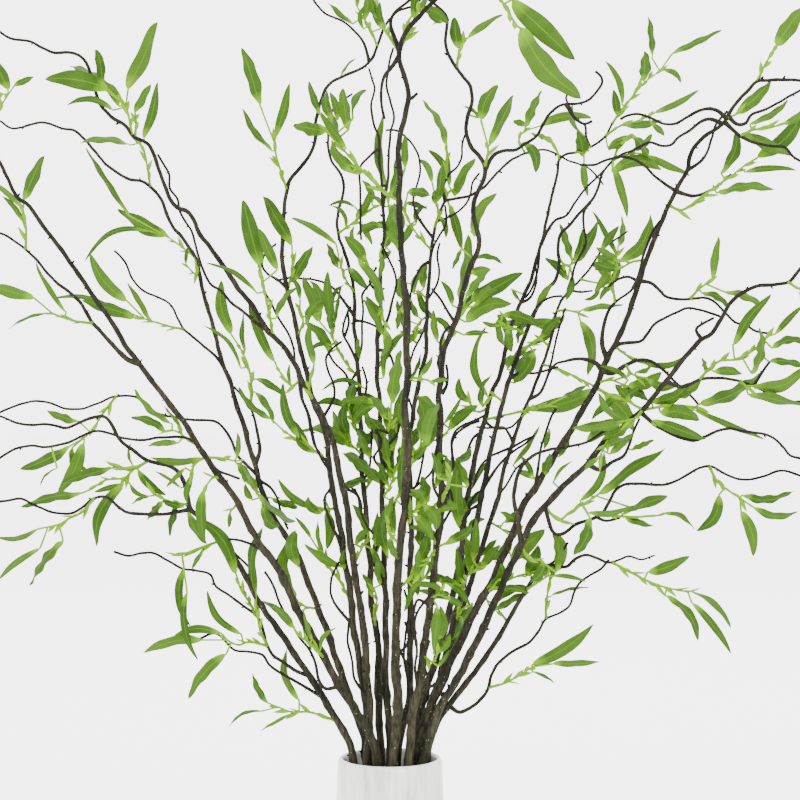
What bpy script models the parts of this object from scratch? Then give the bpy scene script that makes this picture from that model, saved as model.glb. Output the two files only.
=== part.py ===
"""Curly willow stems with leaves, standing in a round ceramic vase.

Origin at the centre of the vase's base, +Z up, the front towards -Y. Metres.
"""
from itertools import product
import math
import random

import bmesh
import bpy
from mathutils import Matrix, Vector
from mathutils.geometry import intersect_point_line

# Vase
VASE_HEIGHT = 0.250
RIM_RADIUS = 0.0574
MOUTH_RADIUS = 0.0512
BELLY_RADIUS = 0.0630
FLOOR_THICKNESS = 0.010
VASE_STEPS = 20
SEAT_GAP = 0.0003

# Front drawing: one step is 1.1 mm in the plane of the vase's axis, x runs right and y down,
# and the eye stands level with EYE_Y. "toward" is the way to the eye from that plane, in mm.
STEP = 0.0011
AXIS_X = 390.0
EYE_X = 400.0
EYE_Y = 400.0
RIM_Y = 757.0
EYE_DISTANCE = 2.0

# Growth
SEED = 11
STEM_SIDES = 4
TWIG_SIDES = 3
STEM_LEAN_POWER = 1.25
STEM_WAVE = 9.0
TWIG_WAVE = 6.0
WAVE_LENGTH = 120.0
TWIG_TIP = 1.7
SPRIG_ROOT = 2.0
SPRIG_TIP = 1.3
STALK = 0.0014
RIB = 0.0014
GAP = 0.0018
STEM_SLACK = 0.0060
TWIG_SLACK = 0.0065
SPRIG_SLACK = 0.0075
LARGE_LEAF = 0.085
LEAF_BOW = 0.13
TOWARD_TRIES = (0, 22, -22, 44, -44, 66, -66, 90, -90)
LEAF_TRIES = (0, 0.25, -0.25, 0.5, -0.5, 0.8, -0.8, 1.1, -1.1)
CELL = 0.03

# Clean-up after a union: the angles in degrees that faces are merged at, tried in turn, and the
# corners below which a loose shell is a speck.
LEVEL_ANGLES = (0.7, 0.4, 0.2, 0.05)
SPECK_CORNERS = 7

BARK_COLOR = (0.050, 0.042, 0.033, 1.0)
VASE_COLOR = (0.70, 0.71, 0.69, 1.0)

# Each stem: its place in the vase's mouth (right, toward) in mm, how far its tip comes toward the eye,
# its thickness at the vase and at the tip in mm, its route, its twigs (toward, thickness, route), and its
# sprigs (route, leaves). A leaf is the drawing place of its base and tip, and its width.
STEMS = {
    "stem_01": {
        "mouth": (-40, 4), "toward": 60, "thick": (8.5, 2.2),
        "route": ((342, 729), (327, 706), (310, 678), (290, 647), (262, 605), (240, 567), (222, 541),
                  (204, 520), (191, 509), (187, 490), (178, 473), (166, 465), (148, 461), (133, 450),
                  (119, 438), (110, 422), (100, 417), (83, 421), (66, 427), (50, 425), (23, 424),
                  (0, 417), (-28, 408)),
        "twigs": (
            (12, 3.0, ((321, 699), (300, 684), (285, 675), (270, 665), (262, 655), (247, 652), (235, 651),
                       (227, 643), (220, 636), (212, 634), (195, 640), (180, 638))),
            (-14, 3.2, ((308, 677), (296, 671), (284, 663), (273, 656), (267, 645), (263, 630), (257, 617),
                        (232, 597), (216, 586), (210, 574), (195, 570), (182, 569), (168, 560),
                        (154, 553), (142, 553), (129, 556), (114, 552))),
            (30, 3.4, ((191, 509), (176, 512), (160, 514), (131, 513), (120, 508), (106, 497), (93, 499),
                       (82, 508), (70, 513), (50, 512), (35, 506), (20, 499), (2, 501), (-22, 497))),
            (-18, 2.4, ((224, 543), (234, 553), (249, 567))),
        ),
        "sprigs": (
            (((336, 724), (323, 716), (308, 712), (292, 712), (278, 707)),
             ((299, 700, 287, 648, 9), (268, 703, 253, 673, 8), (262, 711, 229, 727, 4))),
            (((264, 645), (260, 630), (257, 612)),
             ((256, 604, 263, 527, 12), (261, 601, 294, 628, 9))),
            (((264, 648), (250, 642), (238, 645), (227, 640)),
             ((241, 634, 207, 590, 8), (226, 654, 189, 699, 12), (221, 633, 174, 635, 9),
              (203, 640, 143, 653, 12))),
            (((220, 541), (200, 548), (186, 553), (172, 555)),
             ((184, 568, 190, 626, 9), (187, 592, 198, 660, 8))),
            (((148, 462), (138, 467), (128, 468), (116, 467)),
             ((113, 468, 60, 484, 12), (138, 470, 166, 495, 9))),
            (((146, 464), (133, 470), (124, 478), (106, 480), (92, 489)),
             ((82, 493, 21, 507, 11), (123, 485, 96, 546, 13))),
            (((188, 505), (176, 503), (166, 500), (155, 495)),
             ((178, 504, 170, 536, 9), (163, 502, 147, 520, 10), (150, 496, 132, 504, 5))),
            (((95, 500), (82, 512), (70, 518), (60, 524), (48, 527)),
             ((38, 529, -5, 537, 6), (63, 541, 30, 585, 13), (40, 548, -2, 580, 7))),
            (((258, 612), (250, 603), (241, 590), (238, 580)), ((236, 574, 196, 516, 14),)),
        ),
    },
    "stem_02": {
        "mouth": (-14, 19), "toward": 220, "thick": (9.5, 3.0),
        "route": ((369, 733), (354, 708), (340, 686), (327, 660), (313, 637), (300, 612), (286, 585),
                  (275, 565), (262, 546), (256, 535), (235, 500), (207, 457), (181, 420), (160, 390),
                  (137, 360), (115, 327), (95, 298), (75, 268), (48, 232), (30, 207), (17, 197),
                  (7, 177), (-1, 160), (-18, 130), (-28, 98)),
        "twigs": (
            (-30, 4.2, ((139, 363), (127, 359), (110, 342), (93, 325), (87, 315), (80, 302), (66, 289),
                        (50, 276), (35, 258), (26, 249), (12, 239), (0, 233), (-24, 224))),
            (-12, 2.6, ((198, 446), (189, 439), (179, 437), (160, 438), (146, 440), (123, 438),
                        (114, 435), (100, 431), (88, 433), (66, 443), (46, 448), (31, 446), (15, 449),
                        (0, 458), (-12, 470))),
            (-20, 3.6, ((268, 555), (255, 546), (240, 541), (229, 539))),
            (14, 3.0, ((335, 688), (326, 689), (319, 680), (316, 665), (310, 650), (300, 638),
                       (290, 622), (280, 604), (274, 588), (265, 572))),
            (18, 2.4, ((208, 460), (218, 470), (230, 475), (240, 479))),
        ),
        "sprigs": (
            (((88, 326), (75, 321), (62, 317), (52, 313)),
             ((34, 298, -14, 284, 13), (50, 313, 9, 329, 4), (66, 312, 36, 262, 6))),
            (((26, 249), (26, 228), (23, 211)),
             ((24, 200, 44, 156, 13), (20, 207, -12, 180, 6))),
            (((206, 457), (196, 463), (190, 474)),
             ((203, 458, 150, 457, 9), (191, 480, 187, 503, 7))),
            (((206, 458), (220, 458), (235, 461)),
             ((237, 464, 245, 484, 7), (236, 458, 237, 432, 6))),
            (((222, 480), (214, 477), (206, 486)), ((204, 490, 206, 544, 12),)),
            (((197, 447), (188, 440), (180, 433), (172, 430)),
             ((166, 431, 131, 417, 10), (172, 424, 134, 389, 9), (178, 443, 148, 446, 7))),
            (((237, 503), (231, 511)), ((230, 512, 229, 528, 5),)),
            (((327, 660), (317, 650), (305, 640), (297, 634)), ((294, 628, 272, 604, 9),)),
        ),
    },
    "stem_03": {
        "mouth": (-25, 4), "toward": 36, "thick": (9.0, 2.6),
        "route": ((369, 732), (369, 700), (367, 670), (364, 635), (359, 600), (354, 565), (350, 535),
                  (346, 503), (340, 475), (334, 445), (326, 425), (316, 404), (304, 383), (297, 367),
                  (285, 350), (270, 332), (250, 303), (235, 283), (217, 257), (200, 233), (188, 212),
                  (177, 207), (169, 197), (158, 167), (152, 150), (146, 143), (133, 136), (126, 126),
                  (110, 116), (101, 105), (97, 94), (91, 74), (84, 61), (74, 54), (55, 54), (44, 49),
                  (30, 42), (13, 39), (0, 31), (-25, 12)),
        "twigs": (
            (-24, 3.0, ((268, 330), (255, 322), (243, 311), (232, 303), (222, 291), (212, 285),
                        (205, 275), (199, 258), (193, 235), (186, 222), (180, 211), (178, 199),
                        (170, 188), (169, 172), (158, 154))),
            (20, 3.2, ((299, 372), (301, 387), (303, 401), (310, 418), (314, 440), (321, 459),
                       (330, 472))),
            (16, 2.8, ((341, 478), (346, 488), (355, 494), (360, 503), (361, 514), (366, 524),
                       (373, 533))),
        ),
        "sprigs": (
            (((133, 134), (129, 118), (126, 105)),
             ((128, 90, 157, 22, 17), (108, 90, 46, 80, 19), (113, 110, 67, 105, 7),
              (119, 106, 97, 80, 9), (103, 88, 96, 50, 10), (122, 100, 70, 66, 14))),
            (((135, 137), (136, 126), (136, 118)), ((135, 113, 151, 84, 10),)),
            (((273, 335), (270, 318), (266, 300), (263, 282)),
             ((260, 266, 243, 200, 18), (257, 293, 207, 263, 6), (277, 270, 258, 228, 11),
              (276, 318, 298, 286, 9))),
            (((301, 378), (292, 386), (283, 376), (277, 368)), ((275, 362, 249, 299, 10),)),
            (((316, 404), (309, 390), (312, 372)), ((314, 364, 308, 322, 10),)),
            (((354, 565), (361, 550), (366, 540)),
             ((368, 536, 352, 504, 9), (370, 548, 384, 578, 9))),
        ),
    },
    "stem_04": {
        "mouth": (-28, -24), "toward": -260, "thick": (8.5, 2.6),
        "route": ((362, 730), (348, 693), (335, 657), (325, 625), (312, 592), (302, 566), (290, 543),
                  (277, 522), (267, 503), (260, 485), (255, 463), (248, 445), (242, 420), (236, 400),
                  (231, 383), (223, 365), (216, 338), (210, 315), (202, 285), (196, 258), (185, 243),
                  (172, 225), (162, 203), (151, 188), (142, 181), (128, 179), (113, 171), (93, 149),
                  (77, 131), (63, 129), (43, 123), (22, 128), (10, 128), (-2, 121), (-26, 117)),
        "twigs": (
            (-16, 3.0, ((258, 476), (245, 463), (237, 455), (230, 438), (217, 423), (196, 420),
                        (174, 417), (157, 414), (143, 402), (133, 396), (114, 396), (100, 403),
                        (83, 409), (66, 408), (43, 401), (22, 404), (0, 412), (-18, 424))),
            (-22, 3.0, ((225, 372), (216, 357), (200, 343), (184, 329), (177, 318), (167, 302),
                        (145, 292), (133, 280), (125, 262), (114, 251))),
            (16, 4.0, ((256, 464), (260, 450), (258, 435), (252, 411), (243, 397), (234, 387))),
            (14, 2.8, ((259, 480), (270, 487), (277, 498), (280, 510), (288, 530))),
        ),
        "sprigs": (
            (((150, 187), (147, 165), (144, 150), (140, 143)),
             ((144, 139, 158, 82, 10), (130, 145, 80, 143, 10))),
            (((196, 257), (182, 247), (168, 237)),
             ((166, 236, 118, 209, 17), (150, 231, 84, 262, 6), (130, 216, 86, 148, 7))),
            (((-4, 121), (0, 108), (8, 95)),
             ((14, 86, 34, 77, 7), (8, 90, -14, 52, 14), (4, 94, -26, 112, 13))),
            (((184, 329), (172, 327), (158, 323), (145, 319)),
             ((135, 317, 82, 300, 13), (127, 301, 90, 253, 13), (152, 321, 128, 283, 7),
              (110, 305, 52, 298, 5))),
            (((251, 408), (251, 385), (248, 365), (239, 346)),
             ((231, 334, 221, 280, 13), (245, 352, 244, 312, 6), (241, 368, 203, 325, 5),
              (256, 379, 284, 396, 8), (255, 392, 274, 424, 9))),
            (((116, 397), (104, 412), (94, 427), (84, 438)),
             ((70, 446, 20, 469, 13), (78, 421, 47, 410, 10), (84, 443, 58, 495, 14))),
            (((262, 488), (264, 497)),
             ((266, 500, 294, 521, 15), (272, 498, 298, 508, 8), (258, 495, 240, 462, 9))),
            (((318, 609), (307, 607), (299, 603)),
             ((296, 598, 294, 534, 14), (303, 612, 312, 650, 6))),
            (((196, 257), (196, 274), (187, 266)), ((186, 264, 188, 246, 4),)),
        ),
    },
    "stem_05": {
        "mouth": (-19, -11), "toward": -130, "thick": (8.5, 2.8),
        "route": ((368, 728), (363, 690), (357, 650), (352, 610), (347, 577), (342, 545), (338, 518),
                  (333, 490), (330, 465), (327, 440), (321, 418), (315, 402), (308, 378), (300, 345),
                  (293, 312), (287, 285), (282, 262), (283, 235), (286, 190), (291, 177), (300, 168),
                  (311, 154), (316, 140), (316, 119), (321, 100), (329, 85), (342, 76), (359, 69),
                  (371, 60), (377, 46), (385, 25), (398, 12), (415, 5), (432, -12)),
        "twigs": (
            (14, 3.2, ((343, 552), (337, 536), (331, 525), (326, 508), (326, 496), (331, 484),
                       (326, 462), (314, 445), (311, 430))),
            (10, 3.0, ((351, 625), (342, 613), (333, 600), (330, 588), (332, 576), (339, 562))),
            (34, 4.6, ((369, 62), (364, 44), (355, 32), (342, 21), (326, 14), (314, 1), (304, -18))),
            (10, 2.8, ((288, 288), (278, 280), (268, 274), (262, 264), (266, 252), (276, 244))),
            (10, 2.4, ((311, 430), (307, 412), (301, 398), (299, 382), (296, 365), (293, 350),
                       (288, 334), (280, 320), (271, 304), (265, 292), (262, 276), (258, 262))),
        ),
        "sprigs": (
            (((320, 458), (308, 447), (298, 440), (285, 432)),
             ((272, 420, 238, 387, 9), (299, 437, 283, 383, 10), (310, 451, 290, 416, 9))),
            (((288, 290), (292, 272), (292, 256)),
             ((292, 246, 263, 196, 14), (293, 282, 313, 246, 12))),
            (((286, 190), (281, 172), (276, 155), (274, 142)),
             ((272, 151, 242, 108, 8), (276, 137, 290, 83, 10), (260, 105, 242, 48, 15))),
            (((377, 46), (371, 30), (361, 14)),
             ((358, 8, 350, -24, 8), (365, 20, 371, -12, 9), (352, 24, 328, 3, 7), (382, 28, 374, 2, 9))),
            (((329, 500), (329, 508)), ((327, 511, 327, 549, 11),)),
            (((336, 508), (324, 510), (318, 508)),
             ((315, 508, 278, 479, 8), (320, 514, 308, 497, 9))),
            (((344, 556), (343, 566)), ((341, 567, 305, 544, 10),)),
            (((352, 610), (345, 590), (333, 572), (326, 562)), ((324, 557, 318, 520, 6),)),
            (((298, 336), (303, 322), (300, 309)),
             ((300, 300, 289, 276, 6), (306, 324, 322, 300, 9))),
        ),
    },
    "stem_06": {
        "mouth": (-10, -26), "toward": -250, "thick": (8.5, 2.6),
        "route": ((379, 725), (378, 690), (379, 655), (375, 622), (371, 590), (370, 560), (367, 530),
                  (364, 500), (362, 470), (361, 440), (360, 410), (359, 385), (358, 365), (356, 340),
                  (355, 315), (354, 290), (350, 270), (343, 250), (337, 232), (339, 212), (343, 190),
                  (340, 175), (331, 160), (328, 140), (329, 120), (337, 106), (352, 93)),
        "twigs": (
            (-24, 3.2, ((355, 316), (345, 303), (337, 292), (328, 284), (315, 280), (300, 279),
                        (286, 278), (276, 280))),
            (20, 2.8, ((356, 320), (366, 322), (377, 327))),
            (18, 2.8, ((358, 362), (349, 345), (343, 334), (345, 322), (349, 310))),
            (-18, 3.0, ((359, 390), (351, 387), (346, 375), (337, 366), (331, 358), (328, 348),
                        (338, 342))),
            (-15, 2.4, ((366, 525), (360, 510), (358, 497), (352, 488))),
        ),
        "sprigs": (
            (((356, 378), (345, 362), (337, 348), (331, 335)),
             ((320, 322, 303, 277, 14), (333, 324, 328, 271, 11), (331, 352, 305, 322, 12),
              (330, 345, 310, 352, 5))),
            (((354, 292), (346, 280), (341, 268)),
             ((338, 268, 327, 243, 9), (336, 244, 291, 218, 7), (350, 268, 368, 290, 9))),
            (((340, 232), (350, 225), (362, 216), (376, 205)),
             ((358, 222, 372, 245, 7), (372, 204, 362, 180, 8), (356, 216, 370, 190, 9))),
            (((362, 455), (352, 445), (347, 440)),
             ((345, 439, 302, 430, 14), (350, 440, 346, 402, 13), (357, 448, 378, 432, 12))),
            (((361, 440), (352, 420), (348, 408)),
             ((346, 407, 316, 404, 8), (349, 404, 356, 382, 13), (356, 425, 374, 398, 12))),
            (((363, 492), (372, 480), (382, 470)),
             ((366, 476, 343, 453, 15), (360, 482, 341, 488, 10), (386, 466, 394, 432, 11),
              (389, 464, 378, 443, 12))),
            (((370, 570), (375, 562)),
             ((377, 560, 379, 583, 9), (374, 556, 384, 532, 8))),
            (((376, 628), (374, 612), (377, 600), (374, 588)), ((372, 596, 362, 574, 8),)),
        ),
    },
    "stem_07": {
        "mouth": (0, -11), "toward": -50, "thick": (8.5, 2.4),
        "route": ((389, 725), (386, 690), (386, 655), (385, 610), (384, 560), (383, 520), (382, 480),
                  (381, 440), (379, 405), (377, 375), (378, 345), (380, 300), (382, 260), (384, 230),
                  (383, 200), (379, 165), (379, 141), (373, 122), (371, 105), (374, 88), (369, 68)),
        "twigs": (
            (-20, 3.2, ((383, 206), (388, 180), (389, 150), (391, 133), (394, 118), (391, 102),
                        (387, 84), (389, 68), (393, 48))),
            (18, 3.0, ((378, 338), (387, 321), (392, 303), (396, 283), (393, 268), (386, 254),
                       (380, 244))),
            (-12, 2.8, ((378, 350), (387, 352), (393, 362), (394, 376), (397, 392))),
            (14, 2.8, ((385, 590), (378, 575), (374, 560), (377, 545))),
            (15, 2.4, ((379, 147), (369, 157), (360, 168), (360, 185), (361, 205), (361, 240))),
            (-10, 2.4, ((371, 456), (379, 447), (380, 437), (373, 428), (371, 418))),
            (10, 2.2, ((362, 294), (370, 282), (377, 268))),
        ),
        "sprigs": (
            (((381, 445), (388, 430), (391, 416)),
             ((391, 404, 400, 350, 16), (385, 418, 371, 396, 12), (393, 428, 398, 402, 10),
              (384, 436, 368, 418, 12))),
            (((382, 500), (390, 486), (395, 472)),
             ((396, 470, 399, 446, 10), (388, 486, 378, 462, 10), (390, 500, 394, 534, 10))),
            (((383, 520), (388, 508), (396, 500)),
             ((398, 497, 402, 470, 9), (386, 512, 372, 540, 9))),
            (((380, 300), (383, 318), (386, 330)),
             ((386, 330, 380, 358, 9), (382, 312, 366, 296, 8))),
            (((384, 245), (390, 228), (389, 208), (386, 192)),
             ((385, 188, 383, 114, 10), (390, 196, 397, 149, 9), (383, 226, 357, 235, 9),
              (386, 240, 394, 204, 14), (380, 252, 378, 282, 7))),
            (((380, 290), (374, 276), (366, 262)),
             ((365, 262, 344, 236, 13), (378, 284, 384, 312, 8), (358, 260, 385, 302, 9))),
            (((379, 411), (376, 405)), ((375, 403, 338, 403, 9),)),
        ),
    },
    "stem_08": {
        "mouth": (4, 31), "toward": 380, "thick": (10.5, 3.6),
        "route": ((396, 725), (397, 690), (396, 650), (396, 610), (398, 570), (402, 535), (405, 500),
                  (406, 460), (406, 400), (407, 350), (406, 313), (403, 280), (402, 250), (400, 215),
                  (399, 180), (399, 142), (405, 112), (409, 95), (404, 73), (400, 56), (403, 40),
                  (411, 25), (425, 10), (438, -2), (456, -22), (478, -36)),
        "twigs": (
            (-20, 3.4, ((400, 52), (395, 38), (391, 24), (395, 12), (407, 2), (420, -10))),
            (-16, 3.2, ((400, 57), (391, 68), (384, 77), (381, 92), (382, 106), (384, 118))),
            (16, 3.0, ((407, 98), (412, 98), (417, 94))),
        ),
        "sprigs": (
            (((478, -36), (492, -18), (504, 5), (517, 26)),
             ((520, 28, 581, 98, 26), (512, 0, 575, 60, 22))),
            (((400, 200), (390, 196), (372, 180), (356, 164), (342, 148), (330, 134)),
             ((326, 132, 293, 126, 15), (349, 129, 343, 88, 13), (352, 120, 367, 90, 10),
              (320, 114, 309, 81, 8), (332, 118, 327, 91, 10), (360, 174, 330, 146, 13),
              (338, 138, 328, 112, 10))),
            (((401, 50), (410, 30), (418, 12)),
             ((421, 9, 448, 24, 10), (412, 16, 408, -16, 8))),
            (((406, 475), (414, 458), (420, 446)),
             ((421, 441, 418, 396, 20), (425, 445, 438, 404, 14), (418, 450, 405, 468, 9),
              (426, 448, 430, 418, 11))),
            (((405, 520), (415, 510), (424, 502)),
             ((427, 500, 421, 477, 13), (424, 506, 436, 530, 13), (414, 516, 432, 540, 12))),
            (((398, 590), (408, 580), (416, 566)),
             ((418, 562, 428, 532, 12), (420, 574, 404, 612, 7), (412, 586, 446, 596, 8),
              (415, 580, 418, 548, 9))),
            (((402, 545), (392, 536), (388, 524)),
             ((387, 520, 394, 496, 9), (390, 538, 398, 560, 9))),
            (((407, 380), (416, 378), (428, 380)), ((430, 382, 448, 380, 6),)),
        ),
    },
    "stem_09": {
        "mouth": (8, -38), "toward": -360, "thick": (8.5, 2.4),
        "route": ((404, 722), (409, 690), (410, 650), (410, 600), (410, 560), (411, 520), (409, 480),
                  (408, 445), (412, 422), (415, 400), (420, 376), (425, 355), (427, 330), (428, 300),
                  (430, 270), (431, 245), (435, 225), (445, 203), (452, 200), (470, 195), (485, 187),
                  (496, 175), (510, 161), (525, 153), (541, 149), (554, 152), (567, 160), (582, 165),
                  (594, 172), (603, 184)),
        "twigs": (
            (-22, 2.8, ((431, 238), (424, 226), (417, 214), (413, 202), (416, 188), (420, 172),
                        (419, 158), (414, 147), (406, 138), (397, 131), (386, 130))),
            (24, 3.2, ((446, 202), (443, 188), (448, 176), (457, 166), (462, 156), (463, 141),
                       (468, 130))),
            (20, 3.0, ((431, 262), (422, 266), (415, 278), (411, 292), (410, 310))),
            (-16, 3.0, ((427, 320), (420, 338), (414, 350), (411, 362))),
            (20, 2.4, ((437, 222), (449, 217), (459, 211), (466, 204), (470, 195), (472, 183), (479, 173))),
            (15, 2.2, ((433, 490), (431, 472), (435, 455), (439, 438))),
            (12, 2.4, ((429, 232), (420, 221), (414, 209))),
        ),
        "sprigs": (
            (((432, 250), (421, 239), (412, 227), (404, 212)),
             ((408, 192, 430, 196, 12), (402, 206, 392, 180, 10), (414, 222, 402, 246, 8))),
            (((434, 228), (438, 214), (437, 205)),
             ((436, 203, 442, 162, 11), (432, 182, 419, 159, 7))),
            (((446, 202), (449, 192), (455, 188)),
             ((455, 196, 475, 158, 12), (449, 186, 447, 148, 7))),
            (((448, 202), (450, 208)), ((450, 206, 462, 250, 10),)),
            (((449, 180), (447, 162), (446, 150)), ((447, 147, 422, 100, 10),)),
            (((525, 153), (519, 140), (524, 131)),
             ((526, 127, 542, 91, 11), (540, 126, 592, 118, 10), (526, 126, 513, 122, 7),
              (525, 142, 536, 173, 11))),
            (((427, 315), (420, 322), (417, 330)),
             ((416, 332, 404, 344, 7), (420, 318, 410, 296, 8))),
            (((411, 300), (402, 308)),
             ((400, 310, 398, 330, 7), (404, 300, 400, 276, 8))),
        ),
    },
    "stem_10": {
        "mouth": (20, 29), "toward": 260, "thick": (9.5, 2.6),
        "route": ((412, 722), (418, 688), (424, 650), (430, 606), (434, 570), (439, 535), (441, 505),
                  (441, 475), (440, 440), (440, 412), (438, 393), (441, 370), (445, 350), (452, 332),
                  (458, 313), (463, 292), (469, 270), (478, 253), (480, 240), (475, 225), (473, 209),
                  (477, 194), (483, 180), (485, 166), (478, 155), (470, 146), (466, 132), (468, 118),
                  (472, 103), (470, 87), (462, 76), (455, 66), (448, 50), (446, 33), (447, 18),
                  (440, 8), (428, -2), (410, -16)),
        "twigs": (
            (-22, 3.2, ((485, 170), (493, 156), (503, 151), (515, 150), (523, 145), (535, 137),
                        (541, 127), (548, 115), (557, 107), (566, 104), (578, 104), (590, 99),
                        (601, 86), (601, 77), (595, 71))),
            (14, 3.4, ((440, 530), (444, 508), (448, 494), (443, 480), (451, 468), (453, 455),
                       (452, 442), (456, 431), (464, 425), (476, 420), (486, 414))),
            (10, 2.8, ((444, 356), (440, 345), (443, 334), (450, 326))),
            (-20, 2.6, ((445, 350), (438, 362), (442, 374), (448, 382), (444, 394))),
            (-8, 2.6, ((430, 606), (418, 600), (414, 612), (413, 624), (416, 634))),
            (15, 2.2, ((565, 103), (575, 118), (585, 124), (592, 121))),
            (-18, 2.4, ((440, 395), (445, 388), (448, 378), (446, 365))),
            (-20, 2.6, ((452, 322), (448, 312), (440, 298), (432, 288))),
        ),
        "sprigs": (
            (((441, 366), (440, 350), (448, 338), (456, 322), (463, 308)),
             ((459, 298, 468, 234, 15), (470, 302, 523, 273, 16), (466, 322, 512, 304, 16),
              (452, 305, 441, 281, 7), (474, 306, 496, 290, 10), (450, 334, 434, 318, 8),
              (466, 297, 488, 272, 10), (437, 341, 433, 310, 8))),
            (((480, 240), (476, 234)), ((474, 236, 497, 193, 12),)),
            (((471, 266), (474, 260)),
             ((474, 258, 503, 264, 7), (472, 274, 491, 270, 10))),
            (((485, 166), (488, 152), (487, 142)),
             ((481, 120, 498, 85, 14), (490, 145, 514, 95, 13))),
            (((457, 68), (459, 52), (463, 39)),
             ((457, 47, 454, 17, 12), (468, 38, 503, 15, 8))),
            (((440, 440), (446, 433), (450, 428)), ((451, 427, 478, 405, 12),)),
            (((441, 505), (448, 484), (450, 470)),
             ((444, 480, 447, 456, 12), (438, 478, 432, 452, 10), (433, 506, 457, 507, 8))),
            (((434, 570), (426, 562), (420, 552)),
             ((427, 556, 418, 596, 13), (420, 546, 428, 520, 12))),
            (((430, 606), (437, 594), (446, 582)),
             ((448, 580, 424, 578, 9), (448, 584, 470, 606, 7))),
            (((424, 655), (432, 662), (437, 655)),
             ((438, 652, 450, 634, 8), (437, 640, 440, 606, 10))),
            (((438, 536), (432, 530)), ((431, 527, 423, 483, 13),)),
            (((438, 548), (446, 543)), ((448, 541, 468, 529, 10),)),
            (((430, 598), (438, 594)), ((437, 606, 433, 650, 11),)),
        ),
    },
    "stem_11": {
        "mouth": (34, -11), "toward": -60, "thick": (9.0, 2.6),
        "route": ((427, 722), (437, 690), (446, 655), (454, 622), (461, 595), (468, 565), (474, 535),
                  (480, 505), (486, 475), (492, 447), (498, 425), (503, 402), (508, 383), (514, 363),
                  (522, 343), (530, 325), (538, 306), (545, 291), (555, 282), (558, 268), (558, 248),
                  (561, 234), (570, 224), (579, 213), (590, 202), (598, 188), (603, 174), (612, 162),
                  (622, 154), (635, 150)),
        "twigs": (
            (16, 3.4, ((590, 202), (584, 212), (584, 228), (586, 243), (580, 256), (574, 268),
                       (571, 280))),
            (-18, 3.0, ((509, 378), (520, 373), (535, 373), (548, 370), (557, 367))),
            (-14, 3.2, ((484, 488), (492, 475), (502, 462), (513, 452), (525, 444), (535, 435))),
            (16, 2.8, ((480, 505), (470, 510), (463, 521), (466, 530))),
            (22, 2.6, ((524, 330), (532, 315), (540, 304), (550, 298), (562, 296))),
        ),
        "sprigs": (
            (((614, 160), (618, 148), (628, 136)),
             ((612, 172, 662, 170, 13), (612, 166, 627, 218, 9), (632, 134, 650, 160, 13),
              (626, 138, 608, 150, 8))),
            (((558, 258), (564, 264), (570, 265)),
             ((572, 262, 560, 224, 10), (576, 262, 598, 220, 12), (572, 276, 566, 300, 8),
              (568, 280, 545, 258, 9))),
            (((526, 334), (514, 328), (500, 325)),
             ((503, 314, 541, 326, 11), (498, 326, 482, 322, 5), (508, 330, 512, 352, 10))),
            (((519, 350), (528, 346), (535, 340)),
             ((534, 352, 515, 383, 12), (540, 338, 560, 316, 9))),
            (((503, 402), (495, 396), (489, 398)), ((488, 397, 486, 327, 9),)),
            (((461, 595), (466, 578), (478, 568)),
             ((482, 566, 499, 545, 11), (470, 572, 466, 536, 13), (462, 584, 456, 548, 9))),
            (((454, 622), (462, 610), (468, 606)),
             ((470, 604, 456, 590, 7), (462, 618, 452, 640, 8))),
            (((446, 655), (455, 646), (462, 640)), ((462, 638, 470, 620, 10),)),
            (((617, 163), (626, 155), (637, 153)),
             ((646, 156, 690, 176, 8), (634, 150, 652, 134, 9))),
        ),
    },
    "stem_12": {
        "mouth": (20, -11), "toward": -190, "thick": (9.0, 2.8),
        "route": ((417, 722), (428, 686), (440, 645), (450, 605), (458, 568), (463, 532), (467, 500),
                  (471, 475), (477, 450), (483, 430), (488, 408), (492, 390), (499, 375), (504, 360),
                  (508, 343), (512, 325), (517, 311), (523, 297), (531, 278), (538, 255), (543, 233),
                  (549, 208), (554, 188), (558, 172), (560, 160), (567, 154), (580, 151), (596, 144),
                  (606, 135), (612, 124)),
        "twigs": (
            (16, 3.2, ((590, 148), (586, 136), (585, 126), (576, 119), (570, 108), (566, 98),
                       (571, 90))),
            (20, 3.2, ((540, 245), (548, 230), (556, 220), (566, 216), (574, 204), (584, 190),
                       (596, 178), (606, 168))),
            (-20, 2.8, ((520, 302), (530, 298), (536, 284), (537, 268))),
            (-14, 2.8, ((482, 434), (474, 437), (469, 446), (466, 455), (460, 461), (454, 466))),
            (-20, 2.6, ((485, 421), (492, 427), (502, 429), (512, 427), (521, 418))),
            (15, 2.4, ((540, 250), (538, 270), (532, 288), (525, 298))),
        ),
        "sprigs": (
            (((612, 124), (620, 112), (632, 97), (645, 82), (660, 71)),
             ((652, 58, 648, 16, 9), (643, 80, 644, 51, 13), (672, 54, 722, 30, 8),
              (664, 70, 681, 83, 6), (622, 104, 605, 61, 7), (617, 116, 613, 90, 9))),
            (((606, 137), (620, 126), (634, 122), (648, 117)),
             ((654, 113, 699, 90, 7), (652, 124, 664, 136, 7), (624, 126, 662, 121, 9),
              (608, 148, 634, 136, 8))),
            (((590, 147), (584, 152)),
             ((584, 156, 578, 131, 14), (587, 140, 573, 104, 8), (584, 162, 588, 196, 8))),
            (((560, 160), (556, 148), (552, 142)), ((552, 140, 530, 134, 8),)),
            (((488, 408), (478, 412), (470, 404)), ((469, 402, 459, 378, 9),)),
            (((464, 522), (458, 500), (460, 486)),
             ((461, 530, 458, 456, 15), (466, 510, 484, 490, 9), (456, 514, 444, 500, 9))),
            (((456, 472), (458, 466)), ((458, 464, 469, 448, 9),)),
            (((460, 574), (468, 572)),
             ((457, 588, 457, 546, 9), (474, 572, 500, 545, 10))),
        ),
    },
    "stem_13": {
        "mouth": (26, -26), "toward": -300, "thick": (8.5, 2.4),
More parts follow.
